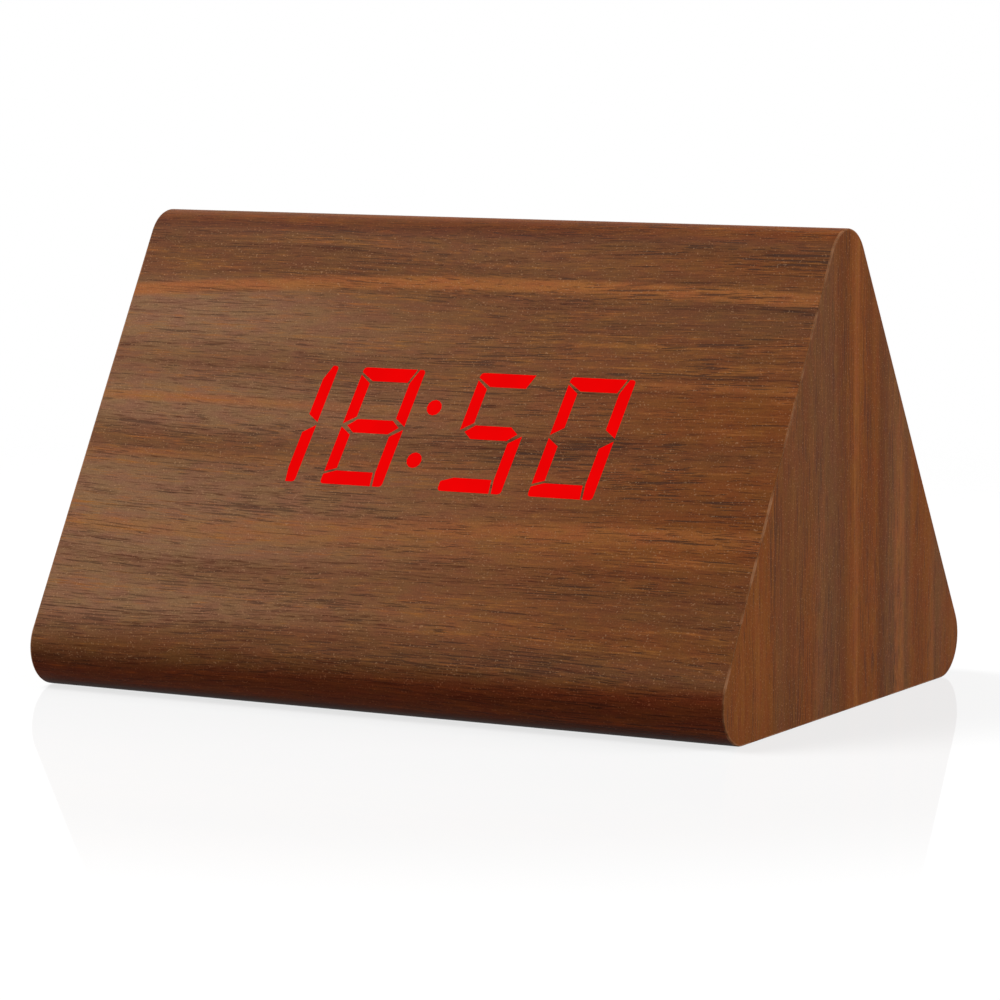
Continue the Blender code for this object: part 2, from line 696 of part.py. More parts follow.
def display_board(display, finish):
    """The circuit board behind the digits, with a light under each bar."""
    outline = rounded_box(FLANGE_WIDTH, FLANGE_HEIGHT, REFLECTOR_CORNER)
    shape = [(outline, -DISPLAY_BOARD_BACK, -DISPLAY_BOARD_FACE)]
    board = prisms("display_board", display, finish, shape)
    lights = []
    wells = colon_outlines(0.0)
    for x in digit_places():
        wells += digit_outlines(x, "abcdefg")
    for outline in wells:
        across, up = zip(*outline)
        x = sum(across) / len(across)
        y = sum(up) / len(up)
        upright = max(up) - min(up) > DIGIT_BAR + DIGIT_SPLIT
        size = (LED_WIDTH, LED_LENGTH) if upright else (LED_LENGTH, LED_WIDTH)
        middle = -DISPLAY_BOARD_FACE - BOARD_THICKNESS / 2
        lights.append((box(*size, x, y), middle, -DISPLAY_BOARD_FACE + LED_HEIGHT))
    join(board, "lights", display, lights)
    clearance = SCREW_RADIUS + SEAT_GAP
    profile = [(clearance, -DISPLAY_BOARD_BACK - OVERRUN), (clearance, 0.0)]
    cut_turned(board, "screw_holes", display, profile, corners(EAR_PLACE, EAR_SPREAD))


def display_screws(display, finish):
    seat = DISPLAY_BOARD_BACK + SEAT_GAP
    mesh = pan_mesh("display_screw", seat - CASE_WALL + DISPLAY_SCREW_BITE)
    for number, (x, y) in enumerate(corners(EAR_PLACE, EAR_SPREAD), 1):
        screw = place_mesh(f"display_screw_{number}", mesh, display, finish, (x, y, -seat))
        screw.rotation_euler = (math.pi, 0, 0)


# Controls


def panel_outline():
    return rounded_box(PANEL_WIDTH, PANEL_HEIGHT, PANEL_CORNER, steps=PANEL_CORNER_STEPS)


def rear_panel(panel, finish):
    """The plate of the controls, with a collar through the wall and two board posts."""
    bm = bmesh.new()
    rings = []
    eased = PANEL_RECESS + PANEL_EDGE_BEVEL
    for inset, depth in ((0.0, PANEL_INSIDE), (0.0, eased), (PANEL_EDGE_BEVEL, PANEL_RECESS)):
        rings.append([(x, y, -depth) for x, y in inset_outline(panel_outline(), inset)])
    add_loft(bm, rings)
    face = place_mesh("rear_panel", finished_mesh("rear_panel", bm), panel, finish)
    middle = -PANEL_INSIDE + PANEL_THICKNESS / 2
    collar_end = -PANEL_INSIDE - COLLAR_DEPTH
    collar = rounded_box(COLLAR_WIDTH, COLLAR_HEIGHT, OPENING_CORNER)
    join(face, "collar", panel, [(collar, collar_end, middle)])
    inside = inset_outline(collar, COLLAR_WALL)
    cut(face, "collar_inside", panel, [(inside, collar_end - OVERRUN, -PANEL_INSIDE)])
    post_end = -CONTROL_BOARD_TOP + SEAT_GAP
    posts = []
    for side in (-1, 1):
        posts.append((circle(POST_RADIUS, SMALL_SIDES, side * POST_PLACE), post_end, middle))
    join(face, "posts", panel, posts)

    holes = []
    for index in range(len(BUTTON_NAMES)):
        holes.append(circle(BUTTON_RADIUS + SEAT_GAP, ROUND_SIDES, button_place(index)))
    holes.append(circle(JACK_NOSE_RADIUS + SEAT_GAP, ROUND_SIDES, JACK_PLACE))
    for index in range(GRILLE_SLOTS):
        y = GRILLE_PITCH * (index - (GRILLE_SLOTS - 1) / 2)
        width = GRILLE_SLOT_WIDTH
        holes.append(rounded_box(GRILLE_SLOT_LENGTH, width, width / 2, BUZZER_PLACE, y))
    cut(face, "holes", panel, [(outline, -PANEL_INSIDE - OVERRUN, OVERRUN) for outline in holes])
    bore = SCREW_RADIUS + SEAT_GAP
    blind = [(bore, post_end - OVERRUN), (bore, -CONTROL_BOARD_TOP + BOARD_SCREW_BITE + SEAT_GAP)]
    cut_turned(face, "post_bores", panel, blind, [(-POST_PLACE, 0.0), (POST_PLACE, 0.0)])
    sink = countersink_profile(WALL_SCREW_LENGTH, PANEL_RECESS)
    cut_turned(face, "countersinks", panel, sink, corners(PANEL_SCREW_PLACE, PANEL_SCREW_SPREAD))


def button_place(index):
    return BUTTON_PITCH * (index - (len(BUTTON_NAMES) - 1) / 2)


def button_mesh(finish):
    """A round key with an eased edge and a dished top, kept in by its flange."""
    top = BUTTON_RISE - PANEL_RECESS
    profile = [
        (BUTTON_DISH_RADIUS / 2, top - BUTTON_DISH_DEPTH),
        (BUTTON_DISH_RADIUS, top - BUTTON_DISH_DEPTH / 2),
        (BUTTON_RADIUS - BUTTON_EDGE, top),
        (BUTTON_RADIUS - BUTTON_EDGE / 3, top - BUTTON_EDGE / 3),
        (BUTTON_RADIUS, top - BUTTON_EDGE),
        (BUTTON_RADIUS, -BUTTON_FLANGE_TOP),
        (BUTTON_FLANGE_RADIUS, -BUTTON_FLANGE_TOP),
        (BUTTON_FLANGE_RADIUS, -BUTTON_FLANGE_TOP - BUTTON_FLANGE),
        (BUTTON_STEM_RADIUS, -BUTTON_FLANGE_TOP - BUTTON_FLANGE),
        (BUTTON_STEM_RADIUS, -BUTTON_FOOT),
    ]
    bm = bmesh.new()
    add_turned(bm, profile, ROUND_SIDES)
    mesh = finished_mesh("button", bm)
    mesh.materials.append(finish)
    return mesh


def buttons(panel, key_finish, switch_finish, plunger_finish):
    """Three keys, each over its own switch. Each key slides on the axis of its origin."""
    key = button_mesh(key_finish)
    body = rounded_box(SWITCH_SIDE, SWITCH_SIDE, SWITCH_CORNER)
    well = PLUNGER_RADIUS + SEAT_GAP
    plunger_bottom = PLUNGER_TOP + PLUNGER_LENGTH
    plunger = [
        (PLUNGER_RADIUS - SWITCH_CORNER, -PLUNGER_TOP),
        (PLUNGER_RADIUS, -PLUNGER_TOP - SWITCH_CORNER),
        (PLUNGER_RADIUS, -plunger_bottom),
    ]
    for index, name in enumerate(BUTTON_NAMES):
        place = (button_place(index), 0, 0)
        place_mesh(f"{name}_button", key, panel, key_finish, place)
        turned(f"{name}_switch_plunger", panel, plunger_finish, plunger, SMALL_SIDES, place)
        shape = [(body, -SWITCH_TOP - SWITCH_HEIGHT, -SWITCH_TOP)]
        switch = prisms(f"{name}_switch", panel, switch_finish, shape, place)
        hole = circle(well, SMALL_SIDES)
        cut(switch, "well", panel, [(hole, -SWITCH_TOP - PLUNGER_WELL, -SWITCH_TOP + OVERRUN)], place)


def control_board(panel, board_finish, screw_finish):
    outline = rounded_box(CONTROL_BOARD_WIDTH, CONTROL_BOARD_HEIGHT, BOARD_CORNER)
    shape = [(outline, -CONTROL_BOARD_BACK, -CONTROL_BOARD_TOP)]
    board = prisms("control_board", panel, board_finish, shape)
    clearance = SCREW_RADIUS + SEAT_GAP
    profile = [(clearance, -CONTROL_BOARD_BACK - OVERRUN), (clearance, 0.0)]
    places = [(-POST_PLACE, 0.0), (POST_PLACE, 0.0)]
    cut_turned(board, "screw_holes", panel, profile, places)
    seat = CONTROL_BOARD_BACK + SEAT_GAP
    mesh = pan_mesh("board_screw", seat - CONTROL_BOARD_TOP + BOARD_SCREW_BITE)
    for number, (x, y) in enumerate(places, 1):
        name = f"control_board_screw_{number}"
        screw = place_mesh(name, mesh, panel, screw_finish, (x, y, -seat))
        screw.rotation_euler = (math.pi, 0, 0)


def buzzer(panel, finish):
    """The alarm sounder, standing on the board behind the grille."""
    foot = -CONTROL_BOARD_TOP + SEAT_GAP
    top = foot + BUZZER_HEIGHT
    profile = [
        (BUZZER_RADIUS - BUTTON_EDGE, top),
        (BUZZER_RADIUS, top - BUTTON_EDGE),
        (BUZZER_RADIUS, foot),
    ]
    place = (BUZZER_PLACE, 0, 0)
    can = turned("alarm_buzzer", panel, finish, profile, ROUND_SIDES, place)
    hole = circle(BUZZER_HOLE_RADIUS, SMALL_SIDES)
    cut(can, "sound_hole", panel, [(hole, top - BUZZER_HEIGHT / 2, top + OVERRUN)], place)


def dc_jack(panel, finish, pin_finish):
    """The power inlet: a square body on the board with its round nose in the panel."""
    foot = -CONTROL_BOARD_TOP + SEAT_GAP
    shoulder = -PANEL_INSIDE - SEAT_GAP
    mouth = -PANEL_RECESS - SEAT_GAP
    body = rounded_box(JACK_SIDE, JACK_SIDE, SWITCH_CORNER)
    place = (JACK_PLACE, 0, 0)
    jack = prisms("dc_jack", panel, finish, [(body, foot, shoulder)], place)
    nose = circle(JACK_NOSE_RADIUS, ROUND_SIDES)
    join(jack, "nose", panel, [(nose, shoulder - OVERRUN, mouth)], place)
    bore = circle(JACK_BORE_RADIUS, SMALL_SIDES)
    cut(jack, "bore", panel, [(bore, foot + JACK_FLOOR, OVERRUN)], place)
    pin_foot = foot + JACK_FLOOR + SEAT_GAP
    profile = [
        (JACK_PIN_RADIUS / 2, mouth - JACK_PIN_SHY),
        (JACK_PIN_RADIUS, mouth - JACK_PIN_SHY - JACK_PIN_RADIUS),
        (JACK_PIN_RADIUS, pin_foot + JACK_PIN_FOOT),
        (JACK_PIN_FOOT_RADIUS, pin_foot + JACK_PIN_FOOT),
        (JACK_PIN_FOOT_RADIUS, pin_foot),
    ]
    turned("dc_jack_pin", panel, pin_finish, profile, SCREW_SIDES, place)


def board_parts(panel, chip_finish, can_finish, sleeve_finish):
    """The clock chip, its crystal and the supply capacitor, inside the case."""
    seat = -CONTROL_BOARD_BACK - SEAT_GAP
    outline = rounded_box(CHIP_LENGTH, CHIP_WIDTH, SWITCH_CORNER)
    chip = prisms("clock_chip", panel, chip_finish, [(outline, seat - CHIP_HEIGHT, seat)])
    notch = circle(CHIP_NOTCH_RADIUS, SCREW_SIDES, CHIP_LENGTH / 2)
    back = seat - CHIP_HEIGHT
    cut(chip, "notch", panel, [(notch, back - OVERRUN, back + CHIP_NOTCH)])

    can = [(CRYSTAL_RADIUS, -CRYSTAL_LENGTH / 2), (CRYSTAL_RADIUS, CRYSTAL_LENGTH / 2)]
    place = (COMPONENT_PITCH, 0, seat - CRYSTAL_RADIUS)
    crystal = turned("clock_crystal", panel, can_finish, can, SMALL_SIDES, place)
    crystal.rotation_euler = (math.pi / 2, 0, 0)

    height = CAPACITOR_HEIGHT
    profile = [
        (CAPACITOR_RADIUS, 0.0),
        (CAPACITOR_RADIUS, -height / 5),
        (CAPACITOR_RADIUS - CAPACITOR_GROOVE, -height / 5 - CAPACITOR_GROOVE),
        (CAPACITOR_RADIUS, -height / 5 - 2 * CAPACITOR_GROOVE),
        (CAPACITOR_RADIUS, CAPACITOR_GROOVE - height),
        (CAPACITOR_RADIUS - CAPACITOR_GROOVE, -height),
    ]
    place = (-COMPONENT_PITCH, 0, seat)
    turned("filter_capacitor", panel, sleeve_finish, profile, SMALL_SIDES, place)


# Battery compartment


def battery_tray(base, finish):
    """The drawn box for the cells, with a ledge for the door and a flange in the base."""
    flange = rounded_box(TRAY_LENGTH, TRAY_WIDTH, TRAY_CORNER)
    mouth = rounded_box(MOUTH_LENGTH, MOUTH_WIDTH, TRAY_CORNER)
    shell = rounded_box(CAVITY_LENGTH + 2 * TRAY_WALL, CAVITY_WIDTH + 2 * TRAY_WALL, TRAY_CORNER)
    seat = TRAY_RECESS + TRAY_FLANGE_THICKNESS
    tray = prisms("battery_tray", base, finish, [(flange, -seat, -TRAY_RECESS)])
    middle = -TRAY_RECESS - TRAY_FLANGE_THICKNESS / 2
    join(tray, "mouth", base, [(mouth, -TRAY_LEDGE - TRAY_WALL, middle)])
    join(tray, "shell", base, [(shell, -TRAY_TOP, -TRAY_LEDGE - TRAY_WALL / 2)])
    boss_end = -TRAY_LEDGE - BOSS_LENGTH
    bosses = []
    for side in (-1, 1):
        boss = circle(BOSS_RADIUS, SMALL_SIDES, side * DOOR_SCREW_PLACE)
        bosses.append((boss, boss_end, -TRAY_LEDGE - TRAY_WALL / 2))
    join(tray, "bosses", base, bosses)
    cavity = rounded_box(CAVITY_LENGTH, CAVITY_WIDTH, TRAY_WALL / 2)
    cut(tray, "cavity", base, [(cavity, -TRAY_ROOF, OVERRUN)])
    recess = rounded_box(DOOR_LENGTH + 2 * SEAT_GAP, DOOR_WIDTH + 2 * SEAT_GAP, TRAY_WALL)
    cut(tray, "door_recess", base, [(recess, -TRAY_LEDGE, OVERRUN)])
    clearance = SCREW_RADIUS + SEAT_GAP
    bore_end = -DOOR_RECESS - SCREW_SUNK - DOOR_SCREW_LENGTH - SEAT_GAP
    bore = [(clearance, bore_end), (clearance, OVERRUN)]
    places = [(-DOOR_SCREW_PLACE, 0.0), (DOOR_SCREW_PLACE, 0.0)]
    cut_turned(tray, "door_screw_bores", base, bore, places)
    sink = countersink_profile(WALL_SCREW_LENGTH, TRAY_RECESS)
    cut_turned(tray, "countersinks", base, sink, [(-TRAY_SCREW_PLACE, 0.0), (TRAY_SCREW_PLACE, 0.0)])
    slots = []
    for row in (0, CELL_COUNT - 1):
        length = CONTACT_THICKNESS + 2 * SEAT_GAP
        width = TAB_WIDTH + 2 * SEAT_GAP
        slot = box(length, width, -contact_place(), cell_row(row))
        slots.append((slot, -TRAY_TOP - OVERRUN, -TRAY_ROOF + OVERRUN))
    cut(tray, "tab_slots", base, slots)


def cell_row(row):
    return CELL_PITCH * (row - (CELL_COUNT - 1) / 2)


def contact_place():
    """How far the middle of a contact plate lies from the middle of the tray."""
    return CAVITY_LENGTH / 2 - SEAT_GAP - CONTACT_THICKNESS / 2


def battery_door(base, finish, screw_finish):
    """The door, flush in the tray's mouth, with a row of grip ribs and two screws."""
    outline = rounded_box(DOOR_LENGTH, DOOR_WIDTH, TRAY_WALL - SEAT_GAP)
    door = prisms("battery_door", base, finish, [(outline, -DOOR_INSIDE, -DOOR_RECESS)])
    grooves = []
    for index in range(DOOR_RIBS):
        y = DOOR_RIB_PITCH * (index - (DOOR_RIBS - 1) / 2)
        groove = rounded_box(DOOR_RIB_LENGTH, DOOR_RIB_WIDTH, DOOR_RIB_WIDTH / 2, 0.0, y)
        grooves.append((groove, -DOOR_RECESS - DOOR_RIB, OVERRUN))
    cut(door, "grip", base, grooves)
    places = [(-DOOR_SCREW_PLACE, 0.0), (DOOR_SCREW_PLACE, 0.0)]
    sink = countersink_profile(DOOR_SCREW_LENGTH, DOOR_RECESS)
    cut_turned(door, "countersinks", base, sink, places)
    mesh = countersunk_mesh("door_screw", DOOR_SCREW_LENGTH, screw_finish)
    for number, (x, y) in enumerate(places, 1):
        place = (x, y, -DOOR_RECESS - SCREW_SUNK)
        place_mesh(f"battery_door_screw_{number}", mesh, base, screw_finish, place)


def battery_cells(base, finish):
    """Four cells side by side, turned about by turns."""
    front = CAVITY_LENGTH / 2 - POLE_SPACE
    profile = [
        (CELL_NUB_RADIUS, front),
        (CELL_NUB_RADIUS, front - CELL_NUB),
        (CELL_RADIUS - CELL_EDGE, front - CELL_NUB),
        (CELL_RADIUS, front - CELL_NUB - CELL_EDGE),
        (CELL_RADIUS, front - CELL_LENGTH + CELL_EDGE),
        (CELL_RADIUS - CELL_EDGE, front - CELL_LENGTH),
    ]
    bm = bmesh.new()
    add_turned(bm, profile, CELL_SIDES)
    mesh = finished_mesh("cell", bm)
    for row in range(CELL_COUNT):
        side = 1 if row % 2 == 0 else -1
        place = (0, cell_row(row), -CELL_DEPTH)
        cell = place_mesh(f"battery_cell_{row + 1}", mesh, base, finish, place)
        cell.rotation_euler = (0, side * math.pi / 2, 0)


def spring_mesh(direction, x, y):
    """A conical spring from a contact plate to its cell, tapering as it goes."""
    steps = SPRING_TURNS * SPRING_STEPS
    curve = bpy.data.curves.new("spring", "CURVE")
    curve.dimensions = "3D"
    curve.bevel_depth = SPRING_WIRE_RADIUS
    curve.bevel_resolution = 1
    curve.use_fill_caps = True
    spline = curve.splines.new("POLY")
    spline.points.add(steps)
    reach = SPRING_LENGTH - SPRING_WIRE_RADIUS
    for step, point in enumerate(spline.points):
        share = step / steps
        angle = 2 * math.pi * step / SPRING_STEPS
        radius = SPRING_FOOT_RADIUS + (SPRING_TIP_RADIUS - SPRING_FOOT_RADIUS) * share
        along = x - direction * (CONTACT_THICKNESS / 2 + reach * share)
        across = y + radius * math.cos(angle)
        point.co = (along, across, radius * math.sin(angle) - CELL_DEPTH, 1)
    wire = bpy.data.objects.new("spring", curve)
    bpy.context.scene.collection.objects.link(wire)
    return settled_mesh(wire)


def contact(name, base, finish, side, poles, tab=False):
    """A contact plate at one end of the tray, with a dimple or a spring for each cell."""
    x = side * contact_place()
    rows = [cell_row(row) for row, pole in poles]
    width = max(rows) - min(rows) + CONTACT_WIDTH
    plate = box(CONTACT_THICKNESS, width, x, sum(rows) / len(rows))
    half = CONTACT_HEIGHT / 2
    piece = prisms(name, base, finish, [(plate, -CELL_DEPTH - half, -CELL_DEPTH + half)])
    if tab:
        strip = box(CONTACT_THICKNESS, TAB_WIDTH, x, rows[0])
        join(piece, "tab", base, [(strip, -TRAY_TOP - TAB_RISE, -CELL_DEPTH)])
    for row, pole in poles:
        y = cell_row(row)
        if pole == "+":
            profile = [
                (DIMPLE_RADIUS, 0.0),
                (DIMPLE_RADIUS, CONTACT_THICKNESS / 2),
                (DIMPLE_TIP_RADIUS, CONTACT_THICKNESS / 2 + DIMPLE_HEIGHT),
            ]
            tool = turned(f"{name}_dimple", base, None, profile, SMALL_SIDES, (x, y, -CELL_DEPTH))
            tool.rotation_euler = (0, -side * math.pi / 2, 0)
        else:
            tool = place_mesh(f"{name}_spring", spring_mesh(side, x, y), base, None)
        combine(piece, tool, "UNION")


def battery_contacts(base, finish):
    contact("negative_contact", base, finish, -1, [(0, "-")], tab=True)
    contact("left_bridge_contact", base, finish, -1, [(1, "+"), (2, "-")])
    contact("positive_contact", base, finish, -1, [(3, "+")], tab=True)
    contact("right_bridge_contact_1", base, finish, 1, [(0, "+"), (1, "-")])
    contact("right_bridge_contact_2", base, finish, 1, [(2, "+"), (3, "-")])


# Wiring


def bezier(start, out, back, end, share):
    keep = 1 - share
    return (
        start * keep ** 3
        + (start + out) * 3 * keep ** 2 * share
        + (end + back) * 3 * keep * share ** 2
        + end * share ** 3
    )


def battery_wire(name, finish, base, panel, row, pad_x):
    """An insulated wire from a solder tab of the tray to the control board."""
    top = -TRAY_TOP - TAB_RISE - SEAT_GAP
    start = base.matrix_world @ Vector((-contact_place(), cell_row(row), top))
    up = base.matrix_world.to_3x3() @ Vector((0, 0, -WIRE_LEAD))
    pad_y = WIRE_PAD_INSET - CONTROL_BOARD_HEIGHT / 2
    end = panel.matrix_world @ Vector((pad_x, pad_y, -CONTROL_BOARD_BACK - SEAT_GAP))
    inward = panel.matrix_world.to_3x3() @ Vector((0, 0, -WIRE_LEAD))
    curve = bpy.data.curves.new(name, "CURVE")
    curve.dimensions = "3D"
    curve.bevel_depth = WIRE_RADIUS
    curve.bevel_resolution = 1
    curve.use_fill_caps = True
    spline = curve.splines.new("POLY")
    spline.points.add(WIRE_STEPS)
    for step, point in enumerate(spline.points):
        point.co = (*bezier(start, up, inward, end, step / WIRE_STEPS), 1)
    curve.materials.append(finish)
    wire = bpy.data.objects.new(name, curve)
    bpy.context.scene.collection.objects.link(wire)


def display_ribbon(finish, display, panel):
    """The flat cable from the control board to the display board, bowed across the case."""
    x = COMPONENT_PITCH + RIBBON_WIDTH
    rise = CONTROL_BOARD_HEIGHT / 2 - WIRE_PAD_INSET
    start = panel.matrix_world @ Vector((0, rise, -CONTROL_BOARD_BACK - SEAT_GAP))
    end = display.matrix_world @ Vector((0, -rise, -DISPLAY_BOARD_BACK - SEAT_GAP))
    out = panel.matrix_world.to_3x3() @ Vector((0, 0, -RIBBON_LEAD))
    back = display.matrix_world.to_3x3() @ Vector((0, 0, -RIBBON_LEAD))
    points = [bezier(start, out, back, end, step / WIRE_STEPS) for step in range(WIRE_STEPS + 1)]
    bm = bmesh.new()
    rings = []
    for index, point in enumerate(points):
        along = points[min(index + 1, WIRE_STEPS)] - points[max(index - 1, 0)]
        across = Vector((0, -along.z, along.y)).normalized() * RIBBON_THICKNESS / 2
        ring = []
        for side_x, side in ((-1, -1), (1, -1), (1, 1), (-1, 1)):
            ring.append(point + side * across + Vector((x + side_x * RIBBON_WIDTH / 2, 0, 0)))
        rings.append(ring)
    add_loft(bm, rings)
    place_mesh("display_ribbon", finished_mesh("display_ribbon", bm), None, finish)


def main():
    clear_scene()
    walnut = material("walnut_film", (0.209, 0.105, 0.060), 0.55)
    end_walnut = material("end_walnut_film", (0.144, 0.050, 0.016), 0.55)
    lit_red = material("lit_red", (0.90, 0.004, 0.002), 0.4, glow=1.0)
    white = material("white_plastic", (0.80, 0.80, 0.78), 0.5)
    black = material("black_plastic", (0.012, 0.012, 0.012), 0.45)
    green = material("circuit_board", (0.010, 0.090, 0.030), 0.4)
    zinc = material("zinc_steel", (0.60, 0.60, 0.58), 0.35, metallic=1.0)
    nickel = material("nickel_plate", (0.66, 0.63, 0.58), 0.25, metallic=1.0)
    sleeve = material("cell_sleeve", (0.03, 0.10, 0.22), 0.35)
    chip_black = material("chip_black", (0.02, 0.02, 0.022), 0.6)
    wire_red = material("wire_red", (0.55, 0.02, 0.015), 0.45)
    wire_black = material("wire_black", (0.015, 0.015, 0.015), 0.45)
    grey = material("ribbon_grey", (0.35, 0.36, 0.38), 0.5)

    front_slope = Matrix.Translation((0, -CASE_SIDE / 2, 0)) @ Matrix.Rotation(SLOPE, 4, "X")
    rear_slope = (
        Matrix.Translation((0, CASE_SIDE / 2, 0))
        @ Matrix.Rotation(math.pi, 4, "Z")
        @ Matrix.Rotation(SLOPE, 4, "X")
    )
    display = axes("display_axes", front_slope @ Matrix.Translation((0, DISPLAY_RISE, 0)))
    panel = axes("panel_axes", rear_slope @ Matrix.Translation((0, PANEL_RISE, 0)))
    base = axes("base_axes", Matrix.Rotation(math.pi, 4, "X"))
    bpy.context.view_layer.update()

    case_wrap(walnut, display, panel, base)
    end_panel("left_end_panel", -1, end_walnut)
    end_panel("right_end_panel", 1, end_walnut)

    display_reflector(display, white)
    light_guides(display, lit_red)
    display_board(display, green)
    display_screws(display, zinc)

    rear_panel(panel, black)
    screw = countersunk_mesh("wall_screw", WALL_SCREW_LENGTH, zinc)
    for number, (x, y) in enumerate(corners(PANEL_SCREW_PLACE, PANEL_SCREW_SPREAD), 1):
        place = (x, y, -PANEL_RECESS - SCREW_SUNK)
        place_mesh(f"rear_panel_screw_{number}", screw, panel, zinc, place)
    buttons(panel, black, chip_black, white)
    control_board(panel, green, zinc)
    buzzer(panel, chip_black)
    dc_jack(panel, black, nickel)
    board_parts(panel, chip_black, nickel, sleeve)

    battery_tray(base, black)
    for number, side in enumerate((-1, 1), 1):
        place = (side * TRAY_SCREW_PLACE, 0, -TRAY_RECESS - SCREW_SUNK)
        place_mesh(f"battery_tray_screw_{number}", screw, base, zinc, place)
    battery_door(base, black, zinc)
    battery_cells(base, sleeve)
    battery_contacts(base, nickel)
    inset = POST_PLACE + POST_RADIUS
    battery_wire("battery_wire_black", wire_black, base, panel, 0, inset)
    battery_wire("battery_wire_red", wire_red, base, panel, CELL_COUNT - 1, inset + COLLAR_DEPTH)
    display_ribbon(grey, display, panel)


main()
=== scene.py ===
"""Looks of a wooden digital alarm clock: its film, plastics, metals, boards and stage.

Metres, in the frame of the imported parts: +Z up, the display slope faces -Y, and the
origin is the middle of the face that the clock rests on.
"""

import json
import math

import bmesh
import bpy
from bpy.props import FloatProperty, FloatVectorProperty, PointerProperty
from mathutils import Matrix, Quaternion, Vector


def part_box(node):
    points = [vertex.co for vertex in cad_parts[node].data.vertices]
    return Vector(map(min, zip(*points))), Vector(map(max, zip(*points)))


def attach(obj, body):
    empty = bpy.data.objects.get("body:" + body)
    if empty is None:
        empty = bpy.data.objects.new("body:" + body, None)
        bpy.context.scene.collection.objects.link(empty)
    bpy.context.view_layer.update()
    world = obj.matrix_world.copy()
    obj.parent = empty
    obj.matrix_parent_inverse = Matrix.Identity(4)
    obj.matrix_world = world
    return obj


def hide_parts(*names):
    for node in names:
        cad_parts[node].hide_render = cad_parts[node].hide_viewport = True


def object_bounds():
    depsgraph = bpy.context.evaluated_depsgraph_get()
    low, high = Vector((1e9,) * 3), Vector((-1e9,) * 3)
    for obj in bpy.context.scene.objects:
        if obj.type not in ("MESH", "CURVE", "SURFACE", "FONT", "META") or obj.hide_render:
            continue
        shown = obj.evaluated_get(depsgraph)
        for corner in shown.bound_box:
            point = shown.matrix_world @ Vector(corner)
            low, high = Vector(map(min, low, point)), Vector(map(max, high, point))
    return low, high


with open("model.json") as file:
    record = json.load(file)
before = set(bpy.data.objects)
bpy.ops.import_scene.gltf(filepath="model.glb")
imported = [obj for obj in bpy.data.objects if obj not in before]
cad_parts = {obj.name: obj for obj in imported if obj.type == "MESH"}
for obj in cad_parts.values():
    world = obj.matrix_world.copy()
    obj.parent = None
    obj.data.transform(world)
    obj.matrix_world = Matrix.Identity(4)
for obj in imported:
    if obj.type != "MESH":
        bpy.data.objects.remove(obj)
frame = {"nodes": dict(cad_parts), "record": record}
CAD_LOW, CAD_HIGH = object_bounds()

bl_info = {
    "name": "Wooden Alarm Clock",
    "version": (1, 0, 0),
    "blender": (4, 5, 0),
    "location": "View3D > Sidebar > Alarm Clock",
    "description": "Dresses the parts of a wooden digital alarm clock and sets its stage",
    "category": "Object",
}

ROOT_2 = math.sqrt(2)
ROOT_3 = math.sqrt(3)
SLOPE = math.radians(60)
CASE_WIDTH = CAD_HIGH.x - CAD_LOW.x
CASE_HEIGHT = CAD_HIGH.z - CAD_LOW.z

CORNER_STEPS = 24
EDGE_STEPS = 4
BOX_STEPS = 8
KEY_SIDES = 64
CELL_SIDES = 48
SCREW_SIDES = 32
OVERRUN = 0.002
NEAR = 1e-5
WELD = 1e-6
SHARP_ANGLE = math.radians(30)
BLACK = (0.0, 0.0, 0.0, 1.0)
WHITE = (1.0, 1.0, 1.0, 1.0)

# Shininess of moulded plastic, and how deep the relief of each finish goes
PLASTIC_SHINE = 0.32
FILM_RELIEF = 0.00002
BOARD_RELIEF = 0.00008
PLATING_RELIEF = 0.000004
CIRCUIT_RELIEF = 0.00004

DIGIT_NODES = (
    "hours_tens_digit", "hours_units_digit", "colon_dots", "minutes_tens_digit", "minutes_units_digit",
)
BUTTON_NAMES = ("set", "down", "up")


# Settings that a user would change


def length(name, description, default):
    return FloatProperty(name=name, description=description, default=default, unit="LENGTH", precision=5)


def share(name, description, default):
    return FloatProperty(
        name=name, description=description, default=default, min=0.0, max=1.0, subtype="FACTOR"
    )


def power(name, description, default):
    return FloatProperty(name=name, description=description, default=default, unit="POWER")


def angle(name, description, default):
    return FloatProperty(
        name=name, description=description, default=math.radians(default), subtype="ANGLE"
    )


def colour(name, description, default):
    return FloatVectorProperty(
        name=name, description=description, default=default, size=3, min=0.0, max=1.0, subtype="COLOR"
    )


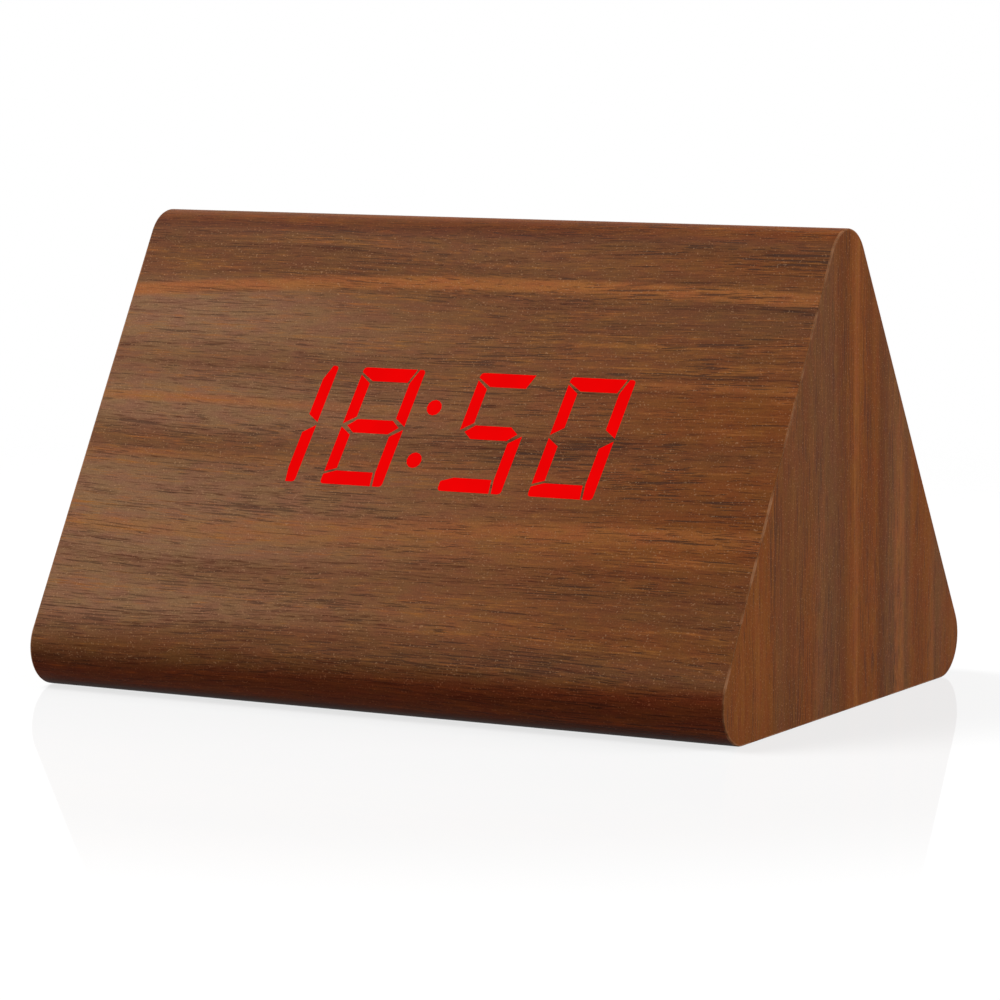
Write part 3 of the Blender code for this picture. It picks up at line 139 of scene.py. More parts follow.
class FilmSettings(bpy.types.PropertyGroup):
    """The walnut-grain film and the boards under it."""

    corner_radius: length("Long edge radius", "Rounding of the three long edges of the case", 0.007)
    rim_radius: length("Rim radius", "Rounding of the film where the case meets its ends", 0.0003)
    wall: length("Board thickness", "Thickness of the case's boards", 0.005)
    seam: length("Seam", "Half of the joint between the case and an end", 0.00002)
    fit: length("Fit", "Clearance round what is let into the boards", 0.0003)
    ground: colour("Ground", "Middle brown of the film", (0.156, 0.042, 0.006))
    light: colour("Light grain", "Light lines of the grain", (0.265, 0.090, 0.018))
    dark: colour("Dark grain", "Dark lines of the grain", (0.062, 0.015, 0.004))
    grey: colour("Grey grain", "Greyer bands of the grain", (0.122, 0.043, 0.014))
    # Pale end is a painted sheen: the film turns paler towards its left end, as the key lamp's reflection
    # does.
    pale: colour("Pale end", "What the film fades to at its left end", (0.196, 0.094, 0.046))
    streak: colour("Streak", "Orange streaks of the film", (0.290, 0.092, 0.022))
    pore: colour("Pore", "Thin dark pores", (0.036, 0.013, 0.006))
    # Glint is a painted highlight: tiny sparkles of reflected light put into the film's colour.
    painted_glint: colour("Glint", "Tiny light grains of the film", (0.420, 0.230, 0.115))
    worn: colour("Worn edge", "Film where it is rubbed on an edge", (0.310, 0.140, 0.066))
    # Fold is a painted shade over the lower long edges, where the film turns under the case.
    painted_under_shade: colour("Fold", "Stain of the film where it turns under the case", (0.92, 0.53, 0.44))
    # Ridge darkens the film over the top edge, less towards the right.
    ridge: colour("Ridge", "Stain of the film where it is folded over the top", (0.70, 0.52, 0.38))
    roughness: share("Roughness", "Roughness of the film", 0.48)
    gloss: share("Gloss", "Strength of the film's reflection", 0.030)
    board: colour("Bare board", "Fibreboard under the film", (0.36, 0.24, 0.14))


class DisplaySettings(bpy.types.PropertyGroup):
    """The lit bars and what stands behind them."""

    lit: colour("Lit bar", "Colour of the light of the digits", (0.840, 0.0009, 0.0012))
    guide: colour("Light guide", "Clear red moulding behind the lit bars", (0.30, 0.004, 0.003))
    lit_depth: length("Lit depth", "How deep the lit ends of the guides reach", 0.0009)
    white: colour("White moulding", "Colour of the reflector", (0.78, 0.78, 0.75))
    solder_mask: colour("Solder mask", "Colour of the circuit boards", (0.008, 0.075, 0.024))
    copper: colour("Copper", "Tracks under the solder mask", (0.020, 0.140, 0.045))
    tinned: colour("Tinned pads", "Bare pads of the circuit boards", (0.62, 0.62, 0.60))
    lamp: colour("Lights", "Tops of the board's small lights", (0.75, 0.70, 0.45))


class ControlSettings(bpy.types.PropertyGroup):
    """The plastics of the controls and the battery compartment."""

    black: colour("Black plastic", "Textured panel, tray and door", (0.0125, 0.0125, 0.0130))
    key: colour("Key", "Smooth keys and inlet", (0.0160, 0.0160, 0.0168))
    mark: colour("Marks", "Printed signs by the keys", (0.52, 0.52, 0.50))
    component: colour("Component", "Casings on the boards", (0.020, 0.020, 0.022))
    texture_depth: length("Texture depth", "Depth of the moulded texture", 0.000015)
    mark_height: length("Mark height", "Height of the printed signs", 0.0019)
    mark_drop: length("Mark place", "From the middle of a key down to its sign", 0.0066)
    ink: length("Ink", "Thickness of the printed signs", 0.00002)


class MetalSettings(bpy.types.PropertyGroup):
    """The plated screws and contacts."""

    zinc: colour("Zinc", "Plated screws", (0.60, 0.60, 0.585))
    nickel: colour("Nickel", "Contacts, pin and crystal can", (0.66, 0.63, 0.575))
    thread_pitch: length("Thread pitch", "Pitch of the screws' threads", 0.0006)
    thread_depth: length("Thread depth", "Depth of the screws' threads", 0.00018)


class PowerSettings(bpy.types.PropertyGroup):
    """The cells, the capacitor and the wiring."""

    cell: colour("Cell sleeve", "Main colour of the cells", (0.030, 0.100, 0.220))
    cell_band: colour("Cell band", "Band at the cells' positive end", (0.62, 0.60, 0.55))
    capacitor: colour("Capacitor sleeve", "Sleeve of the capacitor", (0.020, 0.030, 0.060))
    red_wire: colour("Red wire", "Insulation of the positive wire", (0.55, 0.020, 0.015))
    black_wire: colour("Black wire", "Insulation of the negative wire", (0.015, 0.015, 0.016))
    ribbon: colour("Ribbon", "Insulation of the flat cable", (0.34, 0.35, 0.37))


class StageSettings(bpy.types.PropertyGroup):
    """The floor, the lamps and the camera."""

    key_power: power("Key lamp", "Soft lamp at the front left", 10.0)
    side_power: power("Side lamp", "Soft lamp at the right", 6.8)
    fill: share("Fill", "Even light from all round", 0.22)
    bounce: share("Bounce", "Share of its light that the floor throws back", 0.35)
    floor: share("Floor", "Whiteness that the floor has in full shadow", 0.82)
    shade: share("Shade", "Share of the floor's whiteness that a shadow takes away", 0.15)
    floor_reach: length("Floor reach", "Radius at which the floor has faded out", 0.42)
    gloss: share("Floor gloss", "Share of a reflection in the floor", 0.10)
    distance: length("Camera distance", "From the camera to what it looks at", 0.78211)
    azimuth: angle("Azimuth", "Camera's turn round the clock", 29.81)
    elevation: angle("Elevation", "Camera's height", 7.002)
    roll: angle("Roll", "Camera's lean", -0.3157)
    lens: FloatProperty(name="Lens", description="Focal length in millimetres", default=161.545)


class AlarmClockSettings(bpy.types.PropertyGroup):
    """All sizes and colours of the clock's looks."""

    film: PointerProperty(type=FilmSettings)
    display: PointerProperty(type=DisplaySettings)
    control: PointerProperty(type=ControlSettings)
    metal: PointerProperty(type=MetalSettings)
    power: PointerProperty(type=PowerSettings)
    stage: PointerProperty(type=StageSettings)


# Shader trees


def rgba(value):
    return (*value, 1.0)


class Nodes:
    """Adds and links the nodes of one tree, from sockets or plain values."""

    def __init__(self, tree):
        self.tree = tree

    def add(self, kind, values=(), **choices):
        node = self.tree.nodes.new(kind)
        for name, value in choices.items():
            setattr(node, name, value)
        for key, value in dict(values).items():
            self.put(value, node.inputs[key])
        return node

    def put(self, value, socket):
        if isinstance(value, bpy.types.NodeSocket):
            self.tree.links.new(value, socket)
        else:
            socket.default_value = value

    def math(self, operation, *values):
        return self.add("ShaderNodeMath", enumerate(values), operation=operation).outputs[0]

    def vector(self, operation, *values):
        return self.add("ShaderNodeVectorMath", enumerate(values), operation=operation).outputs[0]

    def split(self, vector):
        return self.add("ShaderNodeSeparateXYZ", {0: vector}).outputs

    def join(self, x, y, z):
        return self.add("ShaderNodeCombineXYZ", {0: x, 1: y, 2: z}).outputs[0]

    def noise(self, position, stretch, detail=2.0):
        """Noise with a scale of its own in X, Y and Z."""
        scaled = self.vector("MULTIPLY", position, stretch)
        values = {"Vector": scaled, "Scale": 1.0, "Detail": detail}
        return self.add("ShaderNodeTexNoise", values).outputs["Fac"]

    def cells(self, position, stretch, **choices):
        scaled = self.vector("MULTIPLY", position, stretch)
        return self.add("ShaderNodeTexVoronoi", {"Vector": scaled, "Scale": 1.0}, **choices).outputs

    def remap(self, value, low, high, to_low=0.0, to_high=1.0):
        """A smooth step between two values."""
        values = {0: value, 1: low, 2: high, 3: to_low, 4: to_high}
        return self.add("ShaderNodeMapRange", values, interpolation_type="SMOOTHSTEP").outputs[0]

    def mix(self, amount, first, second):
        values = {0: amount, 6: first, 7: second}
        return self.add("ShaderNodeMix", values, data_type="RGBA").outputs[2]

    def tint(self, base, factor):
        """A colour made lighter or darker by a factor that varies over the surface."""
        values = {0: 1.0, 6: base, 7: self.join(factor, factor, factor)}
        return self.add("ShaderNodeMix", values, data_type="RGBA", blend_type="MULTIPLY").outputs[2]

    def group(self, tree, values):
        return self.add("ShaderNodeGroup", values, node_tree=tree).outputs


def group_tree(name, inputs, outputs, fill):
    """A shader node group, made once, with its sockets named as given."""
    if name in bpy.data.node_groups:
        return bpy.data.node_groups[name]
    tree = bpy.data.node_groups.new(name, "ShaderNodeTree")
    for socket, kind in inputs:
        tree.interface.new_socket(socket, in_out="INPUT", socket_type=f"NodeSocket{kind}")
    for socket, kind in outputs:
        tree.interface.new_socket(socket, in_out="OUTPUT", socket_type=f"NodeSocket{kind}")
    nodes = Nodes(tree)
    given = nodes.add("NodeGroupInput").outputs
    result = nodes.add("NodeGroupOutput").inputs
    for socket, value in fill(nodes, given).items():
        tree.links.new(value, result[socket])
    return tree


def walnut_figure():
    """Walnut grain that runs along X of its position, as printed on the film."""

    def fill(nodes, given):
        position = given["Position"]
        scaled = nodes.vector("MULTIPLY", position, (9.0, 34.0, 34.0))
        wander = nodes.add("ShaderNodeTexNoise", {"Vector": scaled, "Scale": 1.0, "Detail": 1.0})
        wander = nodes.vector("SUBTRACT", wander.outputs["Color"], (0.5, 0.5, 0.5))
        place = nodes.vector("ADD", position, nodes.vector("MULTIPLY", wander, (0.0, 0.0065, 0.0065)))

        bands = nodes.noise(place, (5.0, 120.0, 120.0))
        lines = nodes.noise(place, (16.0, 620.0, 620.0), 3.0)
        hairs = nodes.noise(place, (48.0, 2600.0, 2600.0))
        fibres = nodes.noise(place, (330.0, 5400.0, 5400.0), 1.0)
        tone = 0.0
        for layer, weight in ((bands, 0.6), (lines, 0.75), (hairs, 0.9), (fibres, 0.9)):
            tone = nodes.math("MULTIPLY_ADD", nodes.math("SUBTRACT", layer, 0.5), weight, tone)
        tone = nodes.math("MULTIPLY", tone, given["Contrast"])

        greyness = nodes.remap(nodes.noise(place, (4.0, 75.0, 75.0), 1.0), 0.42, 0.66)
        film = nodes.mix(greyness, given["Ground"], given["Grey"])
        warm = nodes.math("MULTIPLY", given["Streak"], nodes.remap(lines, 0.25, 0.55, 0.6, 1.0))
        film = nodes.mix(warm, film, given["Streak Colour"])
        film = nodes.mix(nodes.remap(tone, 0.0, 0.50), film, given["Light"])
        film = nodes.mix(nodes.remap(tone, 0.0, -0.50), film, given["Dark"])
        mottle = nodes.remap(nodes.noise(place, (190.0, 520.0, 520.0), 1.0), 0.30, 0.70, 0.93, 1.07)
        film = nodes.vector("MULTIPLY", film, nodes.join(1.0, mottle, 1.0))

        crowd = nodes.noise(place, (26.0, 210.0, 210.0), 1.0)
        marks = 0.0
        for stretch, height in (((75.0, 3000.0, 3000.0), 0.84), ((190.0, 4800.0, 4800.0), 0.85)):
            level = nodes.math("SUBTRACT", height, nodes.math("MULTIPLY", crowd, 0.38))
            ridge = nodes.math("SUBTRACT", nodes.noise(place, stretch, 1.0), level)
            marks = nodes.math("MAXIMUM", marks, nodes.remap(ridge, 0.0, 0.03))
        marks = nodes.math("MULTIPLY", marks, given["Pores"])
        film = nodes.mix(marks, film, given["Pore Colour"])

        grit = nodes.noise(position, (4200.0, 4200.0, 4200.0), 0.0)
        film = nodes.tint(film, nodes.remap(grit, 0.30, 0.70, 0.92, 1.08))
        # Painted highlight: tiny sparkles of reflected light that lighten the film's colour.
        painted_glint = nodes.remap(nodes.noise(position, (3000.0, 4000.0, 4000.0), 0.0), 0.70, 0.79)
        film = nodes.mix(nodes.math("MULTIPLY", painted_glint, 0.34), film, given["Painted Glint Colour"])
        relief = nodes.math("MULTIPLY_ADD", fibres, 0.35, nodes.math("MULTIPLY", marks, -1.0))
        relief = nodes.math("MULTIPLY_ADD", grit, 0.5, relief)
        return {"Colour": film, "Relief": relief}

    inputs = (
        ("Position", "Vector"), ("Ground", "Color"), ("Light", "Color"), ("Dark", "Color"),
        ("Grey", "Color"), ("Pore Colour", "Color"), ("Painted Glint Colour", "Color"),
        ("Streak Colour", "Color"), ("Streak", "Float"), ("Contrast", "Float"), ("Pores", "Float"),
    )
    return group_tree("walnut_figure", inputs, (("Colour", "Color"), ("Relief", "Float")), fill)


def grain_streak():
    """One streak of the film: a band across the grain that bows along it."""

    def fill(nodes, given):
        away = nodes.math("SUBTRACT", given["Along"], given["Crest"])
        bow = nodes.math("MULTIPLY", nodes.math("MULTIPLY", away, away), given["Arch"])
        middle = nodes.math("SUBTRACT", given["Rise"], bow)
        off = nodes.math("ABSOLUTE", nodes.math("SUBTRACT", given["Across"], middle))
        band = nodes.remap(nodes.math("DIVIDE", off, given["Width"]), 1.0, 0.35)
        fade = nodes.remap(given["Along"], given["Faint End"], given["Full End"])
        return {"Mask": nodes.math("MULTIPLY", nodes.math("MULTIPLY", band, fade), given["Strength"])}

    names = ("Along", "Across", "Rise", "Crest", "Arch", "Width", "Faint End", "Full End", "Strength")
    return group_tree("grain_streak", [(name, "Float") for name in names], (("Mask", "Float"),), fill)


def worn_edge():
    """Film that is rubbed pale here and there."""

    def fill(nodes, given):
        breaks = nodes.noise(given["Position"], (260.0, 260.0, 260.0), 3.0)
        rubbed = nodes.remap(breaks, 0.40, 0.64, 0.10, 0.85)
        return {"Colour": nodes.mix(rubbed, given["Film"], given["Worn"])}

    inputs = (("Position", "Vector"), ("Film", "Color"), ("Worn", "Color"))
    return group_tree("worn_edge", inputs, (("Colour", "Color"),), fill)


def moulded_texture():
    """The fine spark-worn texture of moulded plastic, with faint handling marks."""

    def fill(nodes, given):
        position = given["Position"]
        values = {"Vector": position, "Scale": given["Scale"], "Detail": 2.0}
        grain = nodes.add("ShaderNodeTexNoise", values).outputs["Fac"]
        soft = nodes.noise(position, (90.0, 90.0, 90.0))
        rubbed = nodes.remap(nodes.noise(position, (900.0, 120.0, 260.0), 3.0), 0.58, 0.72)
        rough = nodes.math("MULTIPLY_ADD", grain, 0.14, given["Roughness"])
        rough = nodes.math("MULTIPLY_ADD", soft, 0.12, rough)
        rough = nodes.math("MULTIPLY_ADD", rubbed, -0.10, rough)
        tone = nodes.math("MULTIPLY_ADD", soft, 0.22, nodes.math("MULTIPLY_ADD", rubbed, 0.10, 0.88))
        return {"Roughness": rough, "Tone": tone, "Relief": grain}

    inputs = (("Position", "Vector"), ("Scale", "Float"), ("Roughness", "Float"))
    outputs = (("Roughness", "Float"), ("Tone", "Float"), ("Relief", "Float"))
    return group_tree("moulded_texture", inputs, outputs, fill)


def plated_metal():
    """Plating with fine drawn lines and duller patches."""

    def fill(nodes, given):
        position = given["Position"]
        drawn = nodes.noise(position, (700.0, 5200.0, 5200.0))
        patches = nodes.noise(position, (420.0, 420.0, 420.0), 3.0)
        rough = nodes.math("MULTIPLY_ADD", patches, 0.22, given["Roughness"])
        rough = nodes.math("MULTIPLY_ADD", drawn, 0.10, rough)
        return {"Roughness": rough, "Tone": nodes.remap(patches, 0.30, 0.75, 0.86, 1.04), "Relief": drawn}

    inputs = (("Position", "Vector"), ("Roughness", "Float"))
    outputs = (("Roughness", "Float"), ("Tone", "Float"), ("Relief", "Float"))
    return group_tree("plated_metal", inputs, outputs, fill)


def board_artwork():
    """Tracks and pads of a circuit board, in the plane of its own X and Y."""

    def fill(nodes, given):
        flat = nodes.vector("MULTIPLY", given["Position"], (1.0, 1.0, 0.0))
        pads = nodes.cells(flat, (330.0, 620.0, 1.0), distance="MANHATTAN")
        first = nodes.cells(flat, (210.0, 480.0, 1.0), distance="MANHATTAN")
        second = nodes.cells(flat, (210.0, 480.0, 1.0), distance="MANHATTAN", feature="F2")
        border = nodes.math("SUBTRACT", second["Distance"], first["Distance"])
        pad = nodes.remap(pads["Distance"], 0.26, 0.20)
        chosen = nodes.math("LESS_THAN", nodes.split(pads["Color"])[0], 0.30)
        return {
            "Track": nodes.remap(border, 0.16, 0.11),
            "Pad": nodes.math("MULTIPLY", pad, chosen),
            "Weave": nodes.noise(flat, (2600.0, 2600.0, 1.0)),
        }

    outputs = (("Track", "Float"), ("Pad", "Float"), ("Weave", "Float"))
    return group_tree("board_artwork", (("Position", "Vector"),), outputs, fill)


# Finishes


def new_material(name):
    """A material with its nodes, its shader and the rest position of the surface."""
    made = bpy.data.materials.new(name)
    made.use_nodes = True
    nodes = Nodes(made.node_tree)
    position = nodes.add("ShaderNodeTexCoord").outputs["Object"]
    return made, nodes, made.node_tree.nodes["Principled BSDF"], position


def add_bump(nodes, shader, height, depth):
    """Relief of a real depth in metres."""
    bump = nodes.add("ShaderNodeBump", {"Height": height, "Distance": depth})
    nodes.put(bump.outputs["Normal"], shader.inputs["Normal"])


# Each streak of the display slope: its rise up the slope, where it crests along the
# slope, its bow, half its width, where it has faded, where it is full, and its strength
FRONT_STREAKS = (
    (0.0813, 0.020, 0.48, 0.0017, -0.300, -0.200, 0.80),
    (0.0370, 0.075, 0.30, 0.0024, -0.080, 0.060, 0.62),
    (0.0572, -0.062, 0.20, 0.0013, 0.030, -0.050, 0.45),
    (0.0465, -0.010, 0.10, 0.0011, 0.075, 0.000, 0.30),
    (0.0640, 0.070, 0.12, 0.0012, -0.010, 0.060, 0.38),
    (0.0325, -0.050, 0.15, 0.0020, 0.060, -0.040, 0.34),
)

# The same for an end, its streaks placed from the middle of the end towards the back
END_STREAKS = (
    (0.0034, 0.030, 0.0, 0.0013, -0.300, -0.200, 0.42),
    (0.0208, 0.010, 0.0, 0.0028, 0.075, 0.020, 0.52),
    (-0.0105, 0.010, 0.0, 0.0030, 0.050, 0.000, 0.16),
    (0.0340, 0.000, 0.0, 0.0018, 0.040, 0.000, 0.25),
    (-0.0330, 0.000, 0.0, 0.0040, 0.050, 0.000, 0.14),
)

# Darker stripes of an end, given in the same way
END_SHADES = (
    (0.0145, 0.000, 0.0, 0.0034, -0.300, -0.200, 0.55),
    (-0.0022, 0.000, 0.0, 0.0030, -0.300, -0.200, 0.45),
    (0.0085, 0.000, 0.0, 0.0016, 0.000, 0.060, 0.30),
    (-0.0215, 0.000, 0.0, 0.0026, 0.060, 0.000, 0.32),
    (0.0290, 0.000, 0.0, 0.0030, 0.060, 0.000, 0.28),
)


def placed_streaks(nodes, along, across, table):
    total = 0.0
    for rise, crest, arch, width, faint, full, strength in table:
        mask = nodes.group(grain_streak(), {
            "Along": along, "Across": across, "Rise": rise, "Crest": crest, "Arch": arch,
            "Width": width, "Faint End": faint, "Full End": full, "Strength": strength,
        })["Mask"]
        total = nodes.math("MAXIMUM", total, mask)
    return total


# Where the painted shade over the lower edges begins and is full: out from the middle, up from the base,
# leaning along the case; where the film darkens over the top, less towards the right; and how high the
# painted contact shadow reaches
FOLD_OUT = (0.0380, 0.0395)
FOLD_UP = (0.0090, 0.0058)
FOLD_LEAN = -0.03
RIDGE_UP = (0.0774, 0.0787)
RIDGE_ALONG = (0.010, 0.045)
CONTACT_SHADOW_UP = 0.0028


def film_with_painted_shade(nodes, position, film, settings):
    """The film with painted shade over its lower long edges, darker over the top edge, and a painted
    contact shadow, near black, just above the base.
    """
    x, y, z = nodes.split(position)
    low_edge = nodes.remap(nodes.math("ABSOLUTE", y), *FOLD_OUT)
    low = nodes.remap(nodes.math("MULTIPLY_ADD", x, FOLD_LEAN, z), *FOLD_UP)
    high = nodes.math("MULTIPLY", nodes.remap(z, *RIDGE_UP), nodes.remap(x, *RIDGE_ALONG, 1.0, 0.5))
    low = nodes.math("MULTIPLY", low, low_edge)
    # Painted shade: the lower long edges darken and redden where the film turns under the case.
    film = nodes.mix(low, film, nodes.vector("MULTIPLY", film, settings.painted_under_shade))
    # The film darkens over the top edge, less towards the right.
    film = nodes.mix(high, film, nodes.vector("MULTIPLY", film, settings.ridge))
    # Painted contact shadow: the film goes near black just above the base.
    foot = nodes.math("MULTIPLY", nodes.remap(z, CONTACT_SHADOW_UP, 0.0, 0.0, 0.95), low_edge)
    return nodes.mix(foot, film, BLACK)


def film_material(name, settings, ends=False, worn=False):
    """The walnut film, its grain along the case or up its ends."""
    made, nodes, shader, position = new_material(name)
    x, y, z = nodes.split(position)
    ground = rgba(settings.ground)
    contrast = 0.92
    pores = 0.55
    if ends:
        contrast = 0.60
        grain = nodes.join(z, y, x)
        streak = placed_streaks(nodes, z, y, END_STREAKS)
        shade = placed_streaks(nodes, z, y, END_SHADES)
        ground = nodes.mix(shade, ground, rgba(settings.dark))
    else:
        grain = position
        # Painted sheen: the slope's film turns paler, and its pores fainter, towards its left end, where
        # the key lamp's reflection lies.
        faded = nodes.remap(x, 0.065, -0.055)
        ground = nodes.mix(faded, ground, rgba(settings.pale))
        pores = nodes.math("MULTIPLY_ADD", faded, -0.20, 0.76)
        rise = nodes.math("DIVIDE", z, math.sin(SLOPE))
        streak = placed_streaks(nodes, x, rise, FRONT_STREAKS)
        streak = nodes.math("MULTIPLY", streak, nodes.remap(y, 0.001, -0.002))
    figure = nodes.group(walnut_figure(), {
        "Position": grain, "Ground": ground, "Light": rgba(settings.light),
        "Dark": rgba(settings.dark), "Grey": rgba(settings.grey),
        "Pore Colour": rgba(settings.pore), "Painted Glint Colour": rgba(settings.painted_glint),
        "Streak Colour": rgba(settings.streak), "Streak": streak,
        "Contrast": contrast, "Pores": pores,
    })
    film = figure["Colour"]
    if not ends:
        film = film_with_painted_shade(nodes, position, film, settings)
    if worn:
        values = {"Position": position, "Film": film, "Worn": rgba(settings.worn)}
        film = nodes.group(worn_edge(), values)["Colour"]
    nodes.put(film, shader.inputs["Base Color"])
    rough = nodes.math("MULTIPLY_ADD", figure["Relief"], 0.10, settings.roughness)
    nodes.put(rough, shader.inputs["Roughness"])
    shader.inputs["Specular IOR Level"].default_value = settings.gloss
    add_bump(nodes, shader, figure["Relief"], FILM_RELIEF)
    return made


def board_material(name, settings):
    """Bare fibreboard, seen where the film ends."""
    made, nodes, shader, position = new_material(name)
    fibres = nodes.noise(position, (1500.0, 1500.0, 1500.0), 4.0)
    chips = nodes.noise(position, (380.0, 380.0, 380.0), 2.0)
    tone = nodes.math("MULTIPLY_ADD", fibres, 0.5, nodes.math("MULTIPLY_ADD", chips, 0.3, 0.6))
    nodes.put(nodes.tint(rgba(settings.board), tone), shader.inputs["Base Color"])
    nodes.put(nodes.remap(fibres, 0.2, 0.8, 0.8, 0.98), shader.inputs["Roughness"])
    add_bump(nodes, shader, fibres, BOARD_RELIEF)
    return made


def lit_material(name, settings, axes):
    """Clear red moulding whose end at the slope glows evenly."""
    made, nodes, shader, position = new_material(name)
    normal = axes.to_3x3() @ Vector((0, 0, 1))
    values = {0: position, 1: normal}
    reach = nodes.add("ShaderNodeVectorMath", values, operation="DOT_PRODUCT").outputs["Value"]
    face = normal.dot(axes.to_translation())
    lit = nodes.math("GREATER_THAN", reach, face - settings.lit_depth)
    cloud = nodes.noise(position, (160.0, 160.0, 160.0), 1.0)
    glow = nodes.tint(rgba(settings.lit), nodes.remap(cloud, 0.3, 0.7, 0.97, 1.03))
    nodes.put(nodes.mix(lit, BLACK, glow), shader.inputs["Emission Color"])
    body = nodes.tint(rgba(settings.guide), nodes.remap(cloud, 0.3, 0.7, 0.85, 1.10))
    nodes.put(nodes.mix(lit, body, BLACK), shader.inputs["Base Color"])
    nodes.put(nodes.remap(cloud, 0.3, 0.7, 0.45, 0.60), shader.inputs["Roughness"])
    shader.inputs["Emission Strength"].default_value = 1.0
    shader.inputs["Specular IOR Level"].default_value = 0.0
    return made


def plastic_material(name, base, roughness, scale, depth):
    """Moulded plastic with its texture at a real size."""
    made, nodes, shader, position = new_material(name)
    values = {"Position": position, "Scale": scale, "Roughness": roughness}
    texture = nodes.group(moulded_texture(), values)
    nodes.put(nodes.tint(rgba(base), texture["Tone"]), shader.inputs["Base Color"])
    nodes.put(texture["Roughness"], shader.inputs["Roughness"])
    shader.inputs["Specular IOR Level"].default_value = PLASTIC_SHINE
    add_bump(nodes, shader, texture["Relief"], depth)
    return made


def metal_material(name, base, roughness):
    made, nodes, shader, position = new_material(name)
    plating = nodes.group(plated_metal(), {"Position": position, "Roughness": roughness})
    nodes.put(nodes.tint(rgba(base), plating["Tone"]), shader.inputs["Base Color"])
    nodes.put(plating["Roughness"], shader.inputs["Roughness"])
    shader.inputs["Metallic"].default_value = 1.0
    add_bump(nodes, shader, plating["Relief"], PLATING_RELIEF)
    return made


def circuit_material(name, settings, axes, face):
    """A circuit board in its own axes. Lights stand proud of it above the face height."""
    made, nodes, shader, position = new_material(name)
    turn = axes.inverted()
    values = {"Vector": position, "Location": turn.to_translation(), "Rotation": turn.to_euler()}
    local = nodes.add("ShaderNodeMapping", values).outputs[0]
    artwork = nodes.group(board_artwork(), {"Position": local})
    base = nodes.mix(artwork["Track"], rgba(settings.solder_mask), rgba(settings.copper))
    base = nodes.mix(artwork["Pad"], base, rgba(settings.tinned))
    base = nodes.tint(base, nodes.remap(artwork["Weave"], 0.2, 0.8, 0.90, 1.10))
    light = nodes.remap(nodes.split(local)[2], face + 0.0001, face + 0.0002)
    nodes.put(nodes.mix(light, base, rgba(settings.lamp)), shader.inputs["Base Color"])
    nodes.put(nodes.remap(artwork["Weave"], 0.2, 0.8, 0.28, 0.42), shader.inputs["Roughness"])
    bare = nodes.math("MULTIPLY", artwork["Pad"], nodes.math("SUBTRACT", 1.0, light))
    nodes.put(bare, shader.inputs["Metallic"])
    relief = nodes.math("MULTIPLY_ADD", artwork["Pad"], 1.5, artwork["Track"])
    add_bump(nodes, shader, relief, CIRCUIT_RELIEF)
    return made


# Axes on the faces of the case, and what lies on them


def case_side(settings):
    """Side of the three-sided section, from the case's height and its rounding."""
    return (CASE_HEIGHT + settings.corner_radius) * 2 / ROOT_3


def front_axes(settings):
    """X along the display slope, Y up it, Z out of it."""
    return Matrix.Translation((0, -case_side(settings) / 2, 0)) @ Matrix.Rotation(SLOPE, 4, "X")


def rear_axes(settings):
    return Matrix.Rotation(math.pi, 4, "Z") @ front_axes(settings)


BASE_AXES = Matrix.Rotation(math.pi, 4, "X")


def local_points(node, axes):
    inverse = axes.inverted()
    return [inverse @ vert.co for vert in frame["nodes"][node].data.vertices]


def span(node, axes, low=-1.0, high=1.0):
    """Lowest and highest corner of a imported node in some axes, between two heights."""
    points = [point for point in local_points(node, axes) if low <= point.z <= high]
    lists = list(zip(*points))
    return Vector([min(values) for values in lists]), Vector([max(values) for values in lists])


def plate_back(node, axes):
    """Inner height of the widest plate of a node."""
    points = local_points(node, axes)
    edge = max(point.x for point in points) - NEAR
    return min(point.z for point in points if point.x > edge)


def arc(x, y, radius, start, sweep, steps):
    """Points on an arc, its angles in degrees."""
    points = []
    for step in range(steps + 1):
        angle = math.radians(start + sweep * step / steps)
        points.append((x + radius * math.cos(angle), y + radius * math.sin(angle)))
    return points


def circle(radius, sides):
    return arc(0, 0, radius, 0, 360, sides)[:-1]


def rounded_box(low, high, radius):
    """A rectangle with round corners, counter-clockwise, from two opposite corners."""
    centres = (
        (high.x - radius, high.y - radius), (low.x + radius, high.y - radius),
        (low.x + radius, low.y + radius), (high.x - radius, low.y + radius),
    )
    points = []
    for turn, (x, y) in enumerate(centres):
        points += arc(x, y, radius, turn * 90, 90, BOX_STEPS)
    return points


def case_outline(settings, inset):
    """The case's section in Y and Z, standing on its base and taken in by inset."""
    radius = settings.corner_radius - inset
    side = case_side(settings) - 2 * ROOT_3 * inset
    reach = side / 2 - ROOT_3 * radius
    peak = inset + side * ROOT_3 / 2 - 2 * radius
    points = []
    for corner, (y, z) in enumerate(((reach, inset + radius), (0, peak), (-reach, inset + radius))):
        points += arc(y, z, radius, 120 * corner - 90, 120, CORNER_STEPS)
    return points


# Meshes


def add_loft(bm, rings, finishes=(), looped=False):
    """Skins a run of rings with as many points each. A finish can be given for each span."""
    made = [[bm.verts.new(point) for point in ring] for ring in rings]
    pairs = list(zip(made, made[1:]))
    if looped:
        pairs.append((made[-1], made[0]))
    else:
        for ring in (made[0], made[-1]):
            bm.faces.new(ring)
    for number, (first, second) in enumerate(pairs):
        for index, vert in enumerate(first):
            after = (index + 1) % len(first)
            face = bm.faces.new((vert, first[after], second[after], second[index]))
            face.material_index = finishes[number] if finishes else 0


def turned_rings(profile, sides):
    return [[(x, y, height) for x, y in circle(radius, sides)] for radius, height in profile]


def smoothed(mesh):
    mesh.shade_smooth()
    mesh.set_sharp_from_angle(angle=SHARP_ANGLE)


def placed(name, data):
    obj = bpy.data.objects.new(name, data)
    bpy.context.scene.collection.objects.link(obj)
    return obj


